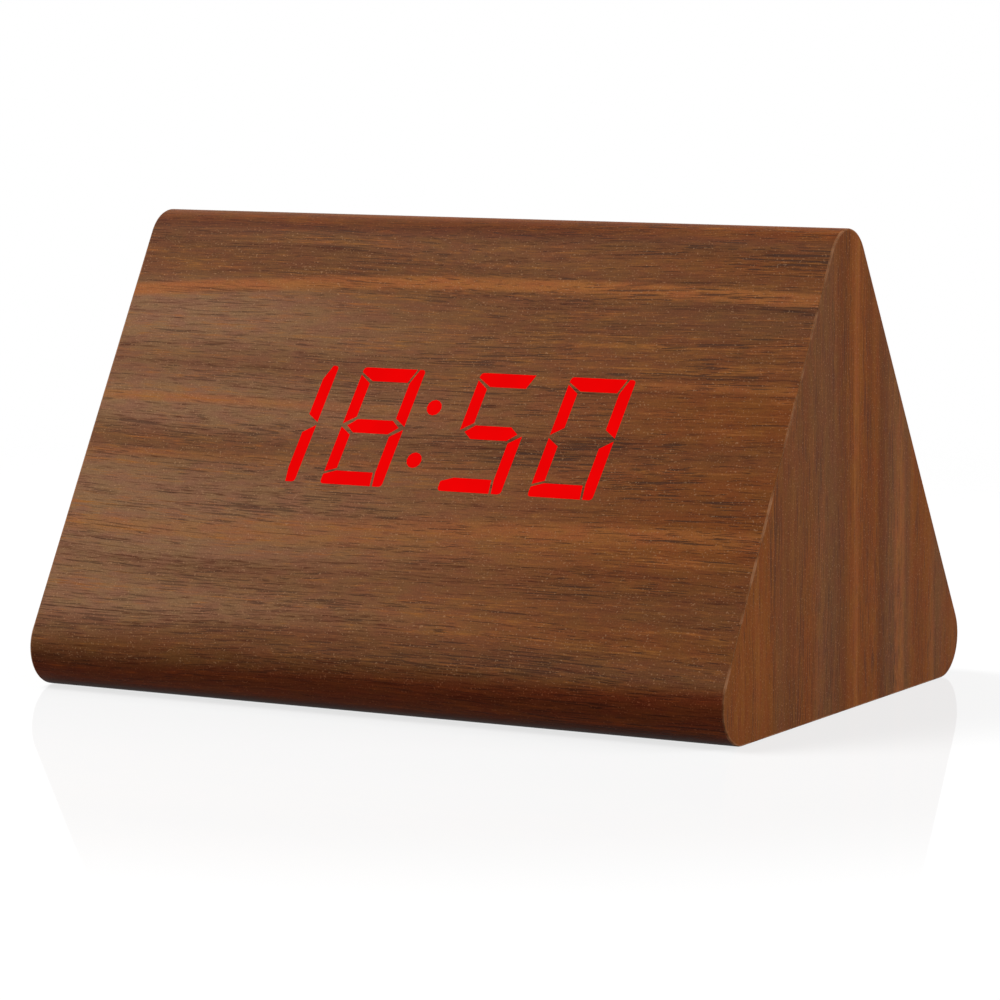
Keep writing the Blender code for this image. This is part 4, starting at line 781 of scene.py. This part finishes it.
def mesh_object(name, bm, finishes=(), axes=None):
    """An object from a bmesh, its place worked into its mesh."""
    bmesh.ops.recalc_face_normals(bm, faces=bm.faces)
    mesh = bpy.data.meshes.new(name)
    bm.to_mesh(mesh)
    bm.free()
    if axes is not None:
        mesh.transform(axes)
    smoothed(mesh)
    for finish in finishes:
        mesh.materials.append(finish)
    return placed(name, mesh)


def prism_object(name, outline, low, high, axes):
    bm = bmesh.new()
    add_loft(bm, [[(x, y, z) for x, y in outline] for z in (low, high)])
    return mesh_object(name, bm, axes=axes)


def window_cutter(node, axes):
    """A closed copy of a light guide that stands out of the slope, to cut with."""
    bm = bmesh.new()
    bm.from_mesh(frame["nodes"][node].data)
    bmesh.ops.remove_doubles(bm, verts=bm.verts, dist=WELD)
    inverse = axes.inverted()
    outward = axes.to_3x3() @ Vector((0, 0, OVERRUN))
    for vert in bm.verts:
        if (inverse @ vert.co).z > -NEAR:
            vert.co += outward
    return mesh_object(f"{node}_cutter", bm)


def settled_mesh(obj):
    """The mesh of an object with its modifiers worked in."""
    return bpy.data.meshes.new_from_object(obj.evaluated_get(bpy.context.evaluated_depsgraph_get()))


def cut_away(obj, cutters, finish=0):
    """Cuts solids out of an object and removes them. Cut faces take the finish of that number."""
    for cutter in cutters:
        cutter.data.materials.clear()
        for material in obj.data.materials:
            cutter.data.materials.append(material)
        for face in cutter.data.polygons:
            face.material_index = finish
        modifier = obj.modifiers.new(cutter.name, "BOOLEAN")
        modifier.operation = "DIFFERENCE"
        modifier.solver = "EXACT"
        modifier.object = cutter
    mesh = settled_mesh(obj)
    obj.modifiers.clear()
    obj.data = mesh
    for cutter in cutters:
        bpy.data.objects.remove(cutter, do_unlink=True)
    smoothed(mesh)


def weigh_normals(obj):
    """Keeps flat faces flat beside rounded ones."""
    modifier = obj.modifiers.new("face_normals", "WEIGHTED_NORMAL")
    modifier.keep_sharp = True


def facet_smoother():
    """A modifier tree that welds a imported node's facets and shades its round faces smooth."""
    name = "smooth_facets"
    if name in bpy.data.node_groups:
        return bpy.data.node_groups[name]
    tree = bpy.data.node_groups.new(name, "GeometryNodeTree")
    tree.interface.new_socket("Geometry", in_out="INPUT", socket_type="NodeSocketGeometry")
    tree.interface.new_socket("Geometry", in_out="OUTPUT", socket_type="NodeSocketGeometry")
    nodes = Nodes(tree)
    shape = nodes.add("NodeGroupInput").outputs[0]
    shape = nodes.add("GeometryNodeRemoveAttribute", {0: shape, "Name": "custom_normal"}).outputs[0]
    shape = nodes.add("GeometryNodeMergeByDistance", {0: shape, "Distance": WELD}).outputs[0]
    values = {0: shape, "Shade Smooth": True}
    shape = nodes.add("GeometryNodeSetShadeSmooth", values, domain="FACE").outputs[0]
    angle = nodes.add("GeometryNodeInputMeshEdgeAngle").outputs["Unsigned Angle"]
    values = {0: angle, 1: SHARP_ANGLE}
    sharp = nodes.add("FunctionNodeCompare", values, operation="GREATER_THAN").outputs[0]
    values = {0: shape, "Selection": sharp, "Shade Smooth": False}
    shape = nodes.add("GeometryNodeSetShadeSmooth", values, domain="EDGE").outputs[0]
    nodes.put(shape, nodes.add("NodeGroupOutput").inputs[0])
    return tree


def dress(node, finish):
    """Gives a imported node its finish, with its round faces shaded smooth."""
    obj = frame["nodes"][node]
    obj.data.materials.clear()
    obj.data.materials.append(finish)
    modifier = obj.modifiers.new("smooth_facets", "NODES")
    modifier.node_group = facet_smoother()
    weigh_normals(obj)


def dress_all(nodes, finish):
    for node in nodes:
        dress(node, finish)


def numbered(name, count):
    return [f"{name}_{number}" for number in range(1, count + 1)]


def slot_of(node):
    subparts = frame["record"]["subparts"]
    return next(part["material_slot"] for part in subparts if part["node"] == node)


def body_of(node):
    bodies = frame["record"]["behaviour"]["bodies"]
    return next(body for body, members in bodies.items() if node in members)


def stand_for(obj, node):
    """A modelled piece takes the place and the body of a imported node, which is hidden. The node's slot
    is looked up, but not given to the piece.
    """
    weigh_normals(obj)
    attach(obj, body_of(node))
    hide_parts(node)
    slot_of(node)


# Operators


class ALARMCLOCK_OT_case(bpy.types.Operator):
    """Folds the film-covered boards round the clock, with their windows and openings"""

    bl_idname = "alarm_clock.case"
    bl_label = "Wooden case"

    pocket_corner = 0.0015
    panel_corners = (0.003, 0.0017)
    tray_corners = (0.0015, 0.0015)

    def execute(self, context):
        settings = context.scene.alarm_clock.film
        finishes = (
            film_material("walnut_film", settings),
            film_material("walnut_film_edge", settings, worn=True),
            board_material("bare_fibreboard", settings),
        )
        end = CASE_WIDTH / 2 - ROOT_2 * settings.seam
        rim = settings.rim_radius
        profile = [(end - settings.wall, settings.wall)]
        for step in range(EDGE_STEPS + 1):
            turn = math.radians(45 * (1 - step / EDGE_STEPS))
            profile.append((end - rim + rim * math.sin(turn), rim - rim * math.cos(turn)))
        rings = []
        for side, stations in ((1, profile), (-1, reversed(profile))):
            for x, inset in stations:
                rings.append([(side * x, y, z) for y, z in case_outline(settings, inset)])
        edge = [2] + [1] * EDGE_STEPS
        bm = bmesh.new()
        add_loft(bm, rings, [*edge, 0, *reversed(edge), 2], looped=True)
        case = mesh_object("wooden_case", bm, finishes)
        cut_away(case, self.cutters(settings), finish=2)
        stand_for(case, "case_wrap")
        return {"FINISHED"}

    def cutters(self, settings):
        """What is let into the boards, each with its fit."""
        front = front_axes(settings)
        wall = settings.wall
        fit = settings.fit
        gap = Vector((fit, fit, 0))
        inside = -wall - OVERRUN
        cutters = [window_cutter(node, front) for node in DIGIT_NODES]
        low, high = span("display_reflector", front, -wall + NEAR)
        pocket = rounded_box(low - gap, high + gap, self.pocket_corner + fit)
        cutters.append(prism_object("display_pocket", pocket, inside, high.z + fit, front))
        for node, axes, (plate_corner, mouth_corner) in (
            ("rear_panel", rear_axes(settings), self.panel_corners),
            ("battery_tray", BASE_AXES, self.tray_corners),
        ):
            back = plate_back(node, axes)
            low, high = span(node, axes)
            rebate = rounded_box(low - gap, high + gap, plate_corner + fit)
            cutters.append(prism_object(f"{node}_rebate", rebate, back - fit, OVERRUN, axes))
            low, high = span(node, axes, high=back - NEAR)
            mouth = rounded_box(low - gap, high + gap, mouth_corner + fit)
            cutters.append(prism_object(f"{node}_mouth", mouth, inside, OVERRUN, axes))
        return cutters


class ALARMCLOCK_OT_ends(bpy.types.Operator):
    """Closes both ends of the case with mitred boards, their grain upright"""

    bl_idname = "alarm_clock.ends"
    bl_label = "End boards"

    def execute(self, context):
        settings = context.scene.alarm_clock.film
        finishes = (
            film_material("end_walnut_film", settings, ends=True),
            film_material("end_walnut_film_edge", settings, ends=True, worn=True),
            bpy.data.materials["bare_fibreboard"],
        )
        half = CASE_WIDTH / 2
        rim = settings.rim_radius
        profile = []
        for step in range(EDGE_STEPS + 1):
            turn = math.radians(45 * step / EDGE_STEPS)
            profile.append((half - rim + rim * math.cos(turn), rim - rim * math.sin(turn)))
        profile.append((half - settings.wall, settings.wall))
        for side, node in ((-1, "left_end_panel"), (1, "right_end_panel")):
            rings = []
            for x, inset in profile:
                rings.append([(side * x, y, z) for y, z in case_outline(settings, inset)])
            bm = bmesh.new()
            add_loft(bm, rings, [1] * EDGE_STEPS + [2])
            bm.faces.ensure_lookup_table()
            bm.faces[1].material_index = 2
            stand_for(mesh_object(node.replace("panel", "board"), bm, finishes), node)
        return {"FINISHED"}


class ALARMCLOCK_OT_digits(bpy.types.Operator):
    """Lights the bars of the time"""

    bl_idname = "alarm_clock.digits"
    bl_label = "Lit digits"

    def execute(self, context):
        clock = context.scene.alarm_clock
        dress_all(DIGIT_NODES, lit_material("lit_red", clock.display, front_axes(clock.film)))
        return {"FINISHED"}


class ALARMCLOCK_OT_display(bpy.types.Operator):
    """Finishes the reflector and the circuit board behind the digits"""

    bl_idname = "alarm_clock.display"
    bl_label = "Display parts"

    light_height = 0.0005

    def execute(self, context):
        clock = context.scene.alarm_clock
        axes = front_axes(clock.film)
        white = plastic_material("white_moulding", clock.display.white, 0.42, 2400.0, 0.00001)
        dress("display_reflector", white)
        face = span("display_board", axes)[1].z - self.light_height
        dress("display_board", circuit_material("display_circuit", clock.display, axes, face))
        return {"FINISHED"}


class ALARMCLOCK_OT_panel(bpy.types.Operator):
    """Finishes the control panel and prints the signs by its keys"""

    bl_idname = "alarm_clock.panel"
    bl_label = "Control panel"

    def execute(self, context):
        clock = context.scene.alarm_clock
        control = clock.control
        black = plastic_material("black_plastic", control.black, 0.42, 3000.0, control.texture_depth)
        dress("rear_panel", black)
        ink = plastic_material("printed_ink", control.mark, 0.55, 5200.0, 0.000004)
        axes = rear_axes(clock.film)
        height = span("rear_panel", axes)[1].z
        for name in BUTTON_NAMES:
            low, high = span(f"{name}_button", axes)
            place = (low + high) / 2
            spot = axes @ Matrix.Translation((place.x, place.y - control.mark_drop, height))
            sign = self.sign(name, control)
            sign.data.transform(spot)
            sign.data.materials.append(ink)
            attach(sign, "case")
        return {"FINISHED"}

    def sign(self, name, control):
        """A word for the set key, and an arrow for each of the others."""
        size = control.mark_height
        if name == "set":
            text = bpy.data.curves.new("set_word", "FONT")
            text.body = "SET"
            text.size = size * 1.35
            text.align_x = "CENTER"
            text.align_y = "CENTER"
            text.extrude = control.ink
            word = placed("set_word", text)
            mesh = settled_mesh(word)
            bpy.data.objects.remove(word, do_unlink=True)
            mesh.materials.clear()
            return placed("set_sign", mesh)
        up = 1 if name == "up" else -1
        outline = [(-size / 2, -up * size * 0.4), (size / 2, -up * size * 0.4), (0, up * size * 0.45)]
        return prism_object(f"{name}_sign", outline, -control.ink, control.ink, Matrix())


class ALARMCLOCK_OT_keys(bpy.types.Operator):
    """Turns the three dished keys, and finishes the switches under them"""

    bl_idname = "alarm_clock.keys"
    bl_label = "Keys and switches"

    edge_share = 0.13
    dish_depth = 0.00045
    edge_steps = 6
    dish_steps = 10

    def execute(self, context):
        clock = context.scene.alarm_clock
        axes = rear_axes(clock.film)
        smooth = plastic_material("key_plastic", clock.control.key, 0.24, 5200.0, 0.000003)
        casing = plastic_material("component_casing", clock.control.component, 0.50, 4200.0, 0.000012)
        plunger = plastic_material("plunger_plastic", clock.display.white, 0.40, 3200.0, 0.000006)
        for name in BUTTON_NAMES:
            node = f"{name}_button"
            low, high = span(node, axes)
            place = Matrix.Translation(((low.x + high.x) / 2, (low.y + high.y) / 2, 0))
            bm = bmesh.new()
            add_loft(bm, turned_rings(self.profile(node, axes), KEY_SIDES))
            stand_for(mesh_object(f"{name}_key", bm, (smooth,), axes @ place), node)
            dress(f"{name}_switch", casing)
            dress(f"{name}_switch_plunger", plunger)
        return {"FINISHED"}

    def profile(self, node, axes):
        """The key's section, from its dished top down to its stem."""
        levels = sorted({round(point.z, 5) for point in local_points(node, axes)})
        foot, flange_low, flange_top, shoulder = levels[:4]
        top = levels[-1]

        def radius_at(level):
            low, high = span(node, axes, level - NEAR, level + NEAR)
            return (high.x - low.x) / 2

        stem = radius_at(foot)
        flange = radius_at(flange_low)
        radius = radius_at(shoulder)
        edge = self.edge_share * radius
        rim = radius - edge
        profile = []
        for step in range(1, self.dish_steps + 1):
            out = step / self.dish_steps
            profile.append((out * rim, top - self.dish_depth * (1 - out ** 2) ** 2))
        profile += arc(rim, top - edge, edge, 90, -90, self.edge_steps)[1:]
        profile += [
            (radius, flange_top), (flange, flange_top), (flange, flange_low),
            (stem, flange_low), (stem, foot),
        ]
        return profile


class ALARMCLOCK_OT_screws(bpy.types.Operator):
    """Turns and threads all the screws, each with its cross recess"""

    bl_idname = "alarm_clock.screws"
    bl_label = "Screws"

    shank_share = 0.47
    head_share = 0.58
    lip_share = 0.04
    recess_depth_share = 0.55
    cross_share = 0.62
    cross_width_share = 0.16
    cross_taper_share = 0.45
    point_share = 1.4
    dome_share = 0.7
    dome_steps = 6
    tip_share = 0.35
    turn_steps = 6

    def execute(self, context):
        clock = context.scene.alarm_clock
        rear = rear_axes(clock.film)
        front = front_axes(clock.film)
        turned_over = Matrix.Rotation(math.pi, 4, "X")
        zinc = metal_material("zinc_plate", clock.metal.zinc, 0.20)
        for nodes, axes, countersunk in (
            (numbered("rear_panel_screw", 4), rear, True),
            (numbered("battery_tray_screw", 2), BASE_AXES, True),
            (numbered("battery_door_screw", 2), BASE_AXES, True),
            (numbered("display_screw", 4), front @ turned_over, False),
            (numbered("control_board_screw", 2), rear @ turned_over, False),
        ):
            for node in nodes:
                self.make_screw(node, axes, countersunk, zinc, clock.metal)
        return {"FINISHED"}

    def make_screw(self, node, axes, countersunk, finish, settings):
        low, high = span(node, axes)
        place = Matrix.Translation(((low.x + high.x) / 2, (low.y + high.y) / 2, high.z))
        head = (high.x - low.x) / 2
        shank = head * self.shank_share
        depth = head * self.head_share
        rings = turned_rings(self.head(head, shank, depth, countersunk), SCREW_SIDES)
        rings += self.thread(shank, -depth, low.z - high.z, settings)
        bm = bmesh.new()
        add_loft(bm, rings)
        screw = mesh_object(f"{node}_turned", bm, (finish,))
        cut_away(screw, [self.recess(head)])
        screw.data.transform(axes @ place)
        stand_for(screw, node)

    def head(self, head, shank, depth, countersunk):
        """Rings of radius and height from the top of the head to the shank."""
        lip = head * self.lip_share
        if countersunk:
            return [(head / 2, 0.0), (head - lip, 0.0), (head, -lip), (head, -2 * lip), (shank, -depth)]
        dome = depth * self.dome_share
        edge = arc(head - dome, -dome, dome, 90, -90, self.dome_steps)
        return [(head / 4, 0.0), *edge, (head, -depth), (shank, -depth)]

    def thread(self, shank, top, end, settings):
        """Rings whose radius follows the thread round and down the shank."""
        pitch = settings.thread_pitch
        point = end + self.point_share * shank
        steps = math.ceil((top - end) / pitch * self.turn_steps)
        rings = []
        for step in range(1, steps + 1):
            z = top + (end - top) * step / steps
            left = min(1.0, (z - end) / (point - end))
            taper = self.tip_share + (1 - self.tip_share) * left
            ring = []
            for side in range(SCREW_SIDES):
                angle = 2 * math.pi * side / SCREW_SIDES
                phase = (z / pitch - side / SCREW_SIDES) % 1.0
                crest = max(0.0, 1.0 - abs(phase - 0.5) * 4)
                radius = (shank - settings.thread_depth * (1.0 - crest)) * taper
                ring.append((radius * math.cos(angle), radius * math.sin(angle), z))
            rings.append(ring)
        return rings

    def recess(self, head):
        """A tapering cross, to cut out of the head."""
        arm = head * self.cross_share
        width = head * self.cross_width_share
        rings = []
        for z, taper in ((-head * self.recess_depth_share, self.cross_taper_share), (head / 5, 1.2)):
            ring = []
            for turn in range(4):
                angle = math.radians(90 * turn)
                for x, y in ((width, width), (width, arm * taper), (-width, arm * taper)):
                    across = x * math.cos(angle) - y * math.sin(angle)
                    up = x * math.sin(angle) + y * math.cos(angle)
                    ring.append((across, up, z))
            rings.append(ring)
        bm = bmesh.new()
        add_loft(bm, rings)
        return mesh_object("cross_recess", bm)


class ALARMCLOCK_OT_electronics(bpy.types.Operator):
    """Finishes the control board and the parts on it"""

    bl_idname = "alarm_clock.electronics"
    bl_label = "Control electronics"

    def execute(self, context):
        clock = context.scene.alarm_clock
        axes = rear_axes(clock.film)
        dress("control_board", circuit_material("control_circuit", clock.display, axes, 0.0))
        dress_all(("clock_chip", "alarm_buzzer"), bpy.data.materials["component_casing"])
        dress("dc_jack", bpy.data.materials["key_plastic"])
        sleeve = plastic_material("capacitor_sleeve", clock.power.capacitor, 0.22, 2600.0, 0.000004)
        dress("filter_capacitor", sleeve)
        nickel = metal_material("nickel_plate", clock.metal.nickel, 0.14)
        dress_all(("dc_jack_pin", "clock_crystal"), nickel)
        return {"FINISHED"}


class ALARMCLOCK_OT_compartment(bpy.types.Operator):
    """Finishes the battery tray and its door"""

    bl_idname = "alarm_clock.compartment"
    bl_label = "Battery compartment"

    def execute(self, context):
        dress_all(("battery_tray", "battery_door"), bpy.data.materials["black_plastic"])
        return {"FINISHED"}


class ALARMCLOCK_OT_cells(bpy.types.Operator):
    """Turns the four cells, in their sleeves"""

    bl_idname = "alarm_clock.cells"
    bl_label = "Cells"

    bead_share = 0.06
    stud_share = 0.36
    shoulder_share = 0.19
    band_share = 0.80

    def execute(self, context):
        power = context.scene.alarm_clock.power
        finishes = (
            plastic_material("cell_sleeve", power.cell, 0.20, 1800.0, 0.000003),
            plastic_material("cell_band", power.cell_band, 0.24, 1800.0, 0.000003),
            bpy.data.materials["nickel_plate"],
        )
        for number, node in enumerate(numbered("battery_cell", 4)):
            low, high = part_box(node)
            reach = high.x - low.x
            side = 1 if number % 2 == 0 else -1
            foot = (low + high) / 2 - Vector((side * reach / 2, 0, 0))
            place = Matrix.Translation(foot) @ Matrix.Rotation(side * math.pi / 2, 4, "Y")
            profile, spans = self.profile((high.z - low.z) / 2, reach)
            bm = bmesh.new()
            add_loft(bm, turned_rings(profile, CELL_SIDES), spans)
            bm.faces.ensure_lookup_table()
            for cap in bm.faces[:2]:
                cap.material_index = 2
            stand_for(mesh_object(f"cell_{number + 1}", bm, finishes, place), node)
        return {"FINISHED"}

    def profile(self, radius, reach):
        """The cell's section from its flat end to its stud, and the finish of each span."""
        bead = radius * self.bead_share
        stud = radius * self.stud_share
        shoulder = reach - radius * self.shoulder_share
        band = reach * self.band_share
        table = [
            (radius * 0.62, 0.0, 2), (radius * 0.66, bead, 2), (radius * 0.80, bead, 2),
            (radius - 2 * bead, 0.0, 0), (radius - bead * 0.6, bead * 0.4, 0), (radius, bead * 1.4, 0),
            (radius, band, 1), (radius, shoulder - bead * 1.4, 1),
            (radius - bead * 0.6, shoulder - bead * 0.4, 1),
            (radius - 2 * bead, shoulder, 2), (radius * 0.78, shoulder - bead, 2),
            (stud * 1.5, shoulder - bead, 2), (stud * 1.12, shoulder, 2), (stud, shoulder + bead, 2),
            (stud, reach - bead, 2), (stud - bead, reach, 2),
        ]
        return [entry[:2] for entry in table], [entry[2] for entry in table]


class ALARMCLOCK_OT_contacts(bpy.types.Operator):
    """Finishes the spring contacts of the cells"""

    bl_idname = "alarm_clock.contacts"
    bl_label = "Contacts"

    def execute(self, context):
        nodes = ["negative_contact", "left_bridge_contact", "positive_contact"]
        dress_all(nodes + numbered("right_bridge_contact", 2), bpy.data.materials["nickel_plate"])
        return {"FINISHED"}


class ALARMCLOCK_OT_wiring(bpy.types.Operator):
    """Finishes the battery wires and the flat cable"""

    bl_idname = "alarm_clock.wiring"
    bl_label = "Wiring"

    def execute(self, context):
        power = context.scene.alarm_clock.power
        for node, base in (
            ("battery_wire_red", power.red_wire), ("battery_wire_black", power.black_wire),
            ("display_ribbon", power.ribbon),
        ):
            dress(node, plastic_material(f"{node}_insulation", base, 0.34, 2200.0, 0.000006))
        return {"FINISHED"}


class ALARMCLOCK_OT_stage(bpy.types.Operator):
    """Lays the floor and sets the lamps, the world and the camera"""

    bl_idname = "alarm_clock.stage"
    bl_label = "Stage"

    floor_sides = 96
    floor_rings = 6
    floor_drop = 0.00005
    mirror_roughness = 0.03
    key_place = (-0.45, -0.25, 0.75)
    key_size = 0.50
    side_place = (0.80, 0.25, 0.45)
    side_size = 0.45
    target = Vector((0.0006853, 0.0, 0.0318248))
    sensor_width = 36.0
    clip = (0.05, 20.0)

    def execute(self, context):
        stage = context.scene.alarm_clock.stage
        self.lay_floor(stage)
        self.set_world(context.scene, stage)
        self.hang_lamp("key_lamp", self.key_place, self.key_size, stage.key_power)
        self.hang_lamp("side_lamp", self.side_place, self.side_size, stage.side_power)
        self.set_camera(context.scene, stage)
        context.scene.view_settings.view_transform = "Standard"
        return {"FINISHED"}

    def lay_floor(self, stage):
        bm = bmesh.new()
        inner = []
        for number in range(self.floor_rings):
            radius = stage.floor_reach * (number + 1) / self.floor_rings
            ring = [bm.verts.new((x, y, -self.floor_drop)) for x, y in circle(radius, self.floor_sides)]
            if inner:
                for index, vert in enumerate(inner):
                    after = (index + 1) % self.floor_sides
                    bm.faces.new((vert, ring[index], ring[after], inner[after]))
            else:
                bm.faces.new(ring)
            inner = ring
        mesh = bpy.data.meshes.new("floor")
        bm.to_mesh(mesh)
        bm.free()
        mesh.materials.append(self.floor_material(stage))
        placed("floor", mesh)

    def floor_material(self, stage):
        """White that keeps the object's shadow and a faint mirror image of it."""
        made, nodes, shader, position = new_material("floor_white")
        output = made.node_tree.nodes["Material Output"]
        made.node_tree.nodes.remove(shader)
        seen = self.seen_rays(nodes)
        haze = nodes.remap(nodes.noise(position, (30.0, 30.0, 30.0)), 0.0, 1.0, 0.985, 1.0)
        shade = nodes.tint(WHITE, nodes.math("MULTIPLY", haze, stage.shade))
        shade = nodes.add("ShaderNodeBsdfDiffuse", {"Color": shade}).outputs[0]
        glow = nodes.add("ShaderNodeEmission", {"Color": WHITE, "Strength": stage.floor}).outputs[0]
        lit = nodes.add("ShaderNodeAddShader", {0: shade, 1: glow}).outputs[0]
        values = {"Color": WHITE, "Roughness": self.mirror_roughness}
        mirror = nodes.add("ShaderNodeBsdfGlossy", values).outputs[0]
        away = nodes.add("ShaderNodeVectorMath", {0: position}, operation="LENGTH").outputs["Value"]
        gloss = nodes.remap(away, stage.floor_reach * 0.30, stage.floor_reach * 0.50, stage.gloss, 0.0)
        lit = nodes.add("ShaderNodeMixShader", {0: gloss, 1: lit, 2: mirror}).outputs[0]
        plain = nodes.tint(WHITE, nodes.math("MULTIPLY", haze, stage.bounce))
        plain = nodes.add("ShaderNodeBsdfDiffuse", {"Color": plain}).outputs[0]
        surface = nodes.add("ShaderNodeMixShader", {0: seen, 1: plain, 2: lit}).outputs[0]
        fade = nodes.remap(away, stage.floor_reach * 0.55, stage.floor_reach * 0.98)
        clear = nodes.add("ShaderNodeBsdfTransparent").outputs[0]
        values = {0: nodes.math("MULTIPLY", fade, seen), 1: surface, 2: clear}
        nodes.put(nodes.add("ShaderNodeMixShader", values).outputs[0], output.inputs["Surface"])
        return made

    def seen_rays(self, nodes):
        """One for rays from the camera, and for those that a gloss or a clear piece sends on."""
        path = nodes.add("ShaderNodeLightPath").outputs
        seen = nodes.math("MAXIMUM", path["Is Camera Ray"], path["Is Glossy Ray"])
        return nodes.math("MAXIMUM", seen, path["Is Transmission Ray"])

    def set_world(self, scene, stage):
        scene.world = bpy.data.worlds.new("studio")
        scene.world.use_nodes = True
        nodes = Nodes(scene.world.node_tree)
        background = scene.world.node_tree.nodes["Background"]
        background.inputs["Color"].default_value = WHITE
        strength = nodes.remap(self.seen_rays(nodes), 0.0, 1.0, stage.fill, 1.0)
        nodes.put(strength, background.inputs["Strength"])

    def hang_lamp(self, name, place, size, power):
        lamp = bpy.data.lights.new(name, "AREA")
        lamp.size = size
        lamp.energy = power
        obj = placed(name, lamp)
        obj.location = place
        obj.rotation_mode = "QUATERNION"
        obj.rotation_quaternion = (self.target - obj.location).to_track_quat("-Z", "Y")

    def set_camera(self, scene, stage):
        camera = bpy.data.cameras.new("camera")
        camera.sensor_width = self.sensor_width
        camera.lens = stage.lens
        camera.clip_start, camera.clip_end = self.clip
        obj = placed("camera", camera)
        level = math.cos(stage.elevation)
        aside, forward = math.sin(stage.azimuth), math.cos(stage.azimuth)
        back = Vector((aside * level, -forward * level, math.sin(stage.elevation)))
        obj.location = self.target + back * stage.distance
        obj.rotation_mode = "QUATERNION"
        upright = (-back).to_track_quat("-Z", "Y")
        obj.rotation_quaternion = upright @ Quaternion((0, 0, 1), stage.roll)
        scene.camera = obj


OPERATORS = (
    ALARMCLOCK_OT_case, ALARMCLOCK_OT_ends, ALARMCLOCK_OT_digits, ALARMCLOCK_OT_display,
    ALARMCLOCK_OT_panel, ALARMCLOCK_OT_keys, ALARMCLOCK_OT_screws, ALARMCLOCK_OT_electronics,
    ALARMCLOCK_OT_compartment, ALARMCLOCK_OT_cells, ALARMCLOCK_OT_contacts, ALARMCLOCK_OT_wiring,
    ALARMCLOCK_OT_stage,
)


class ALARMCLOCK_PT_parts(bpy.types.Panel):
    """Lists the clock's pieces in the order in which they are made"""

    bl_idname = "ALARMCLOCK_PT_parts"
    bl_label = "Alarm Clock"
    bl_space_type = "VIEW_3D"
    bl_region_type = "UI"
    bl_category = "Alarm Clock"

    def draw(self, context):
        column = self.layout.column()
        for operator in OPERATORS:
            column.operator(operator.bl_idname)


SETTINGS = (
    FilmSettings, DisplaySettings, ControlSettings, MetalSettings, PowerSettings, StageSettings,
    AlarmClockSettings,
)
CLASSES = (*SETTINGS, *OPERATORS, ALARMCLOCK_PT_parts)


def register():
    for made in CLASSES:
        bpy.utils.register_class(made)
    bpy.types.Scene.alarm_clock = PointerProperty(type=AlarmClockSettings)


def unregister():
    del bpy.types.Scene.alarm_clock
    for made in reversed(CLASSES):
        bpy.utils.unregister_class(made)


def main():
    register()
    for operator in OPERATORS:
        category, name = operator.bl_idname.split(".")
        getattr(getattr(bpy.ops, category), name)()


if __name__ == "__main__":
    main()
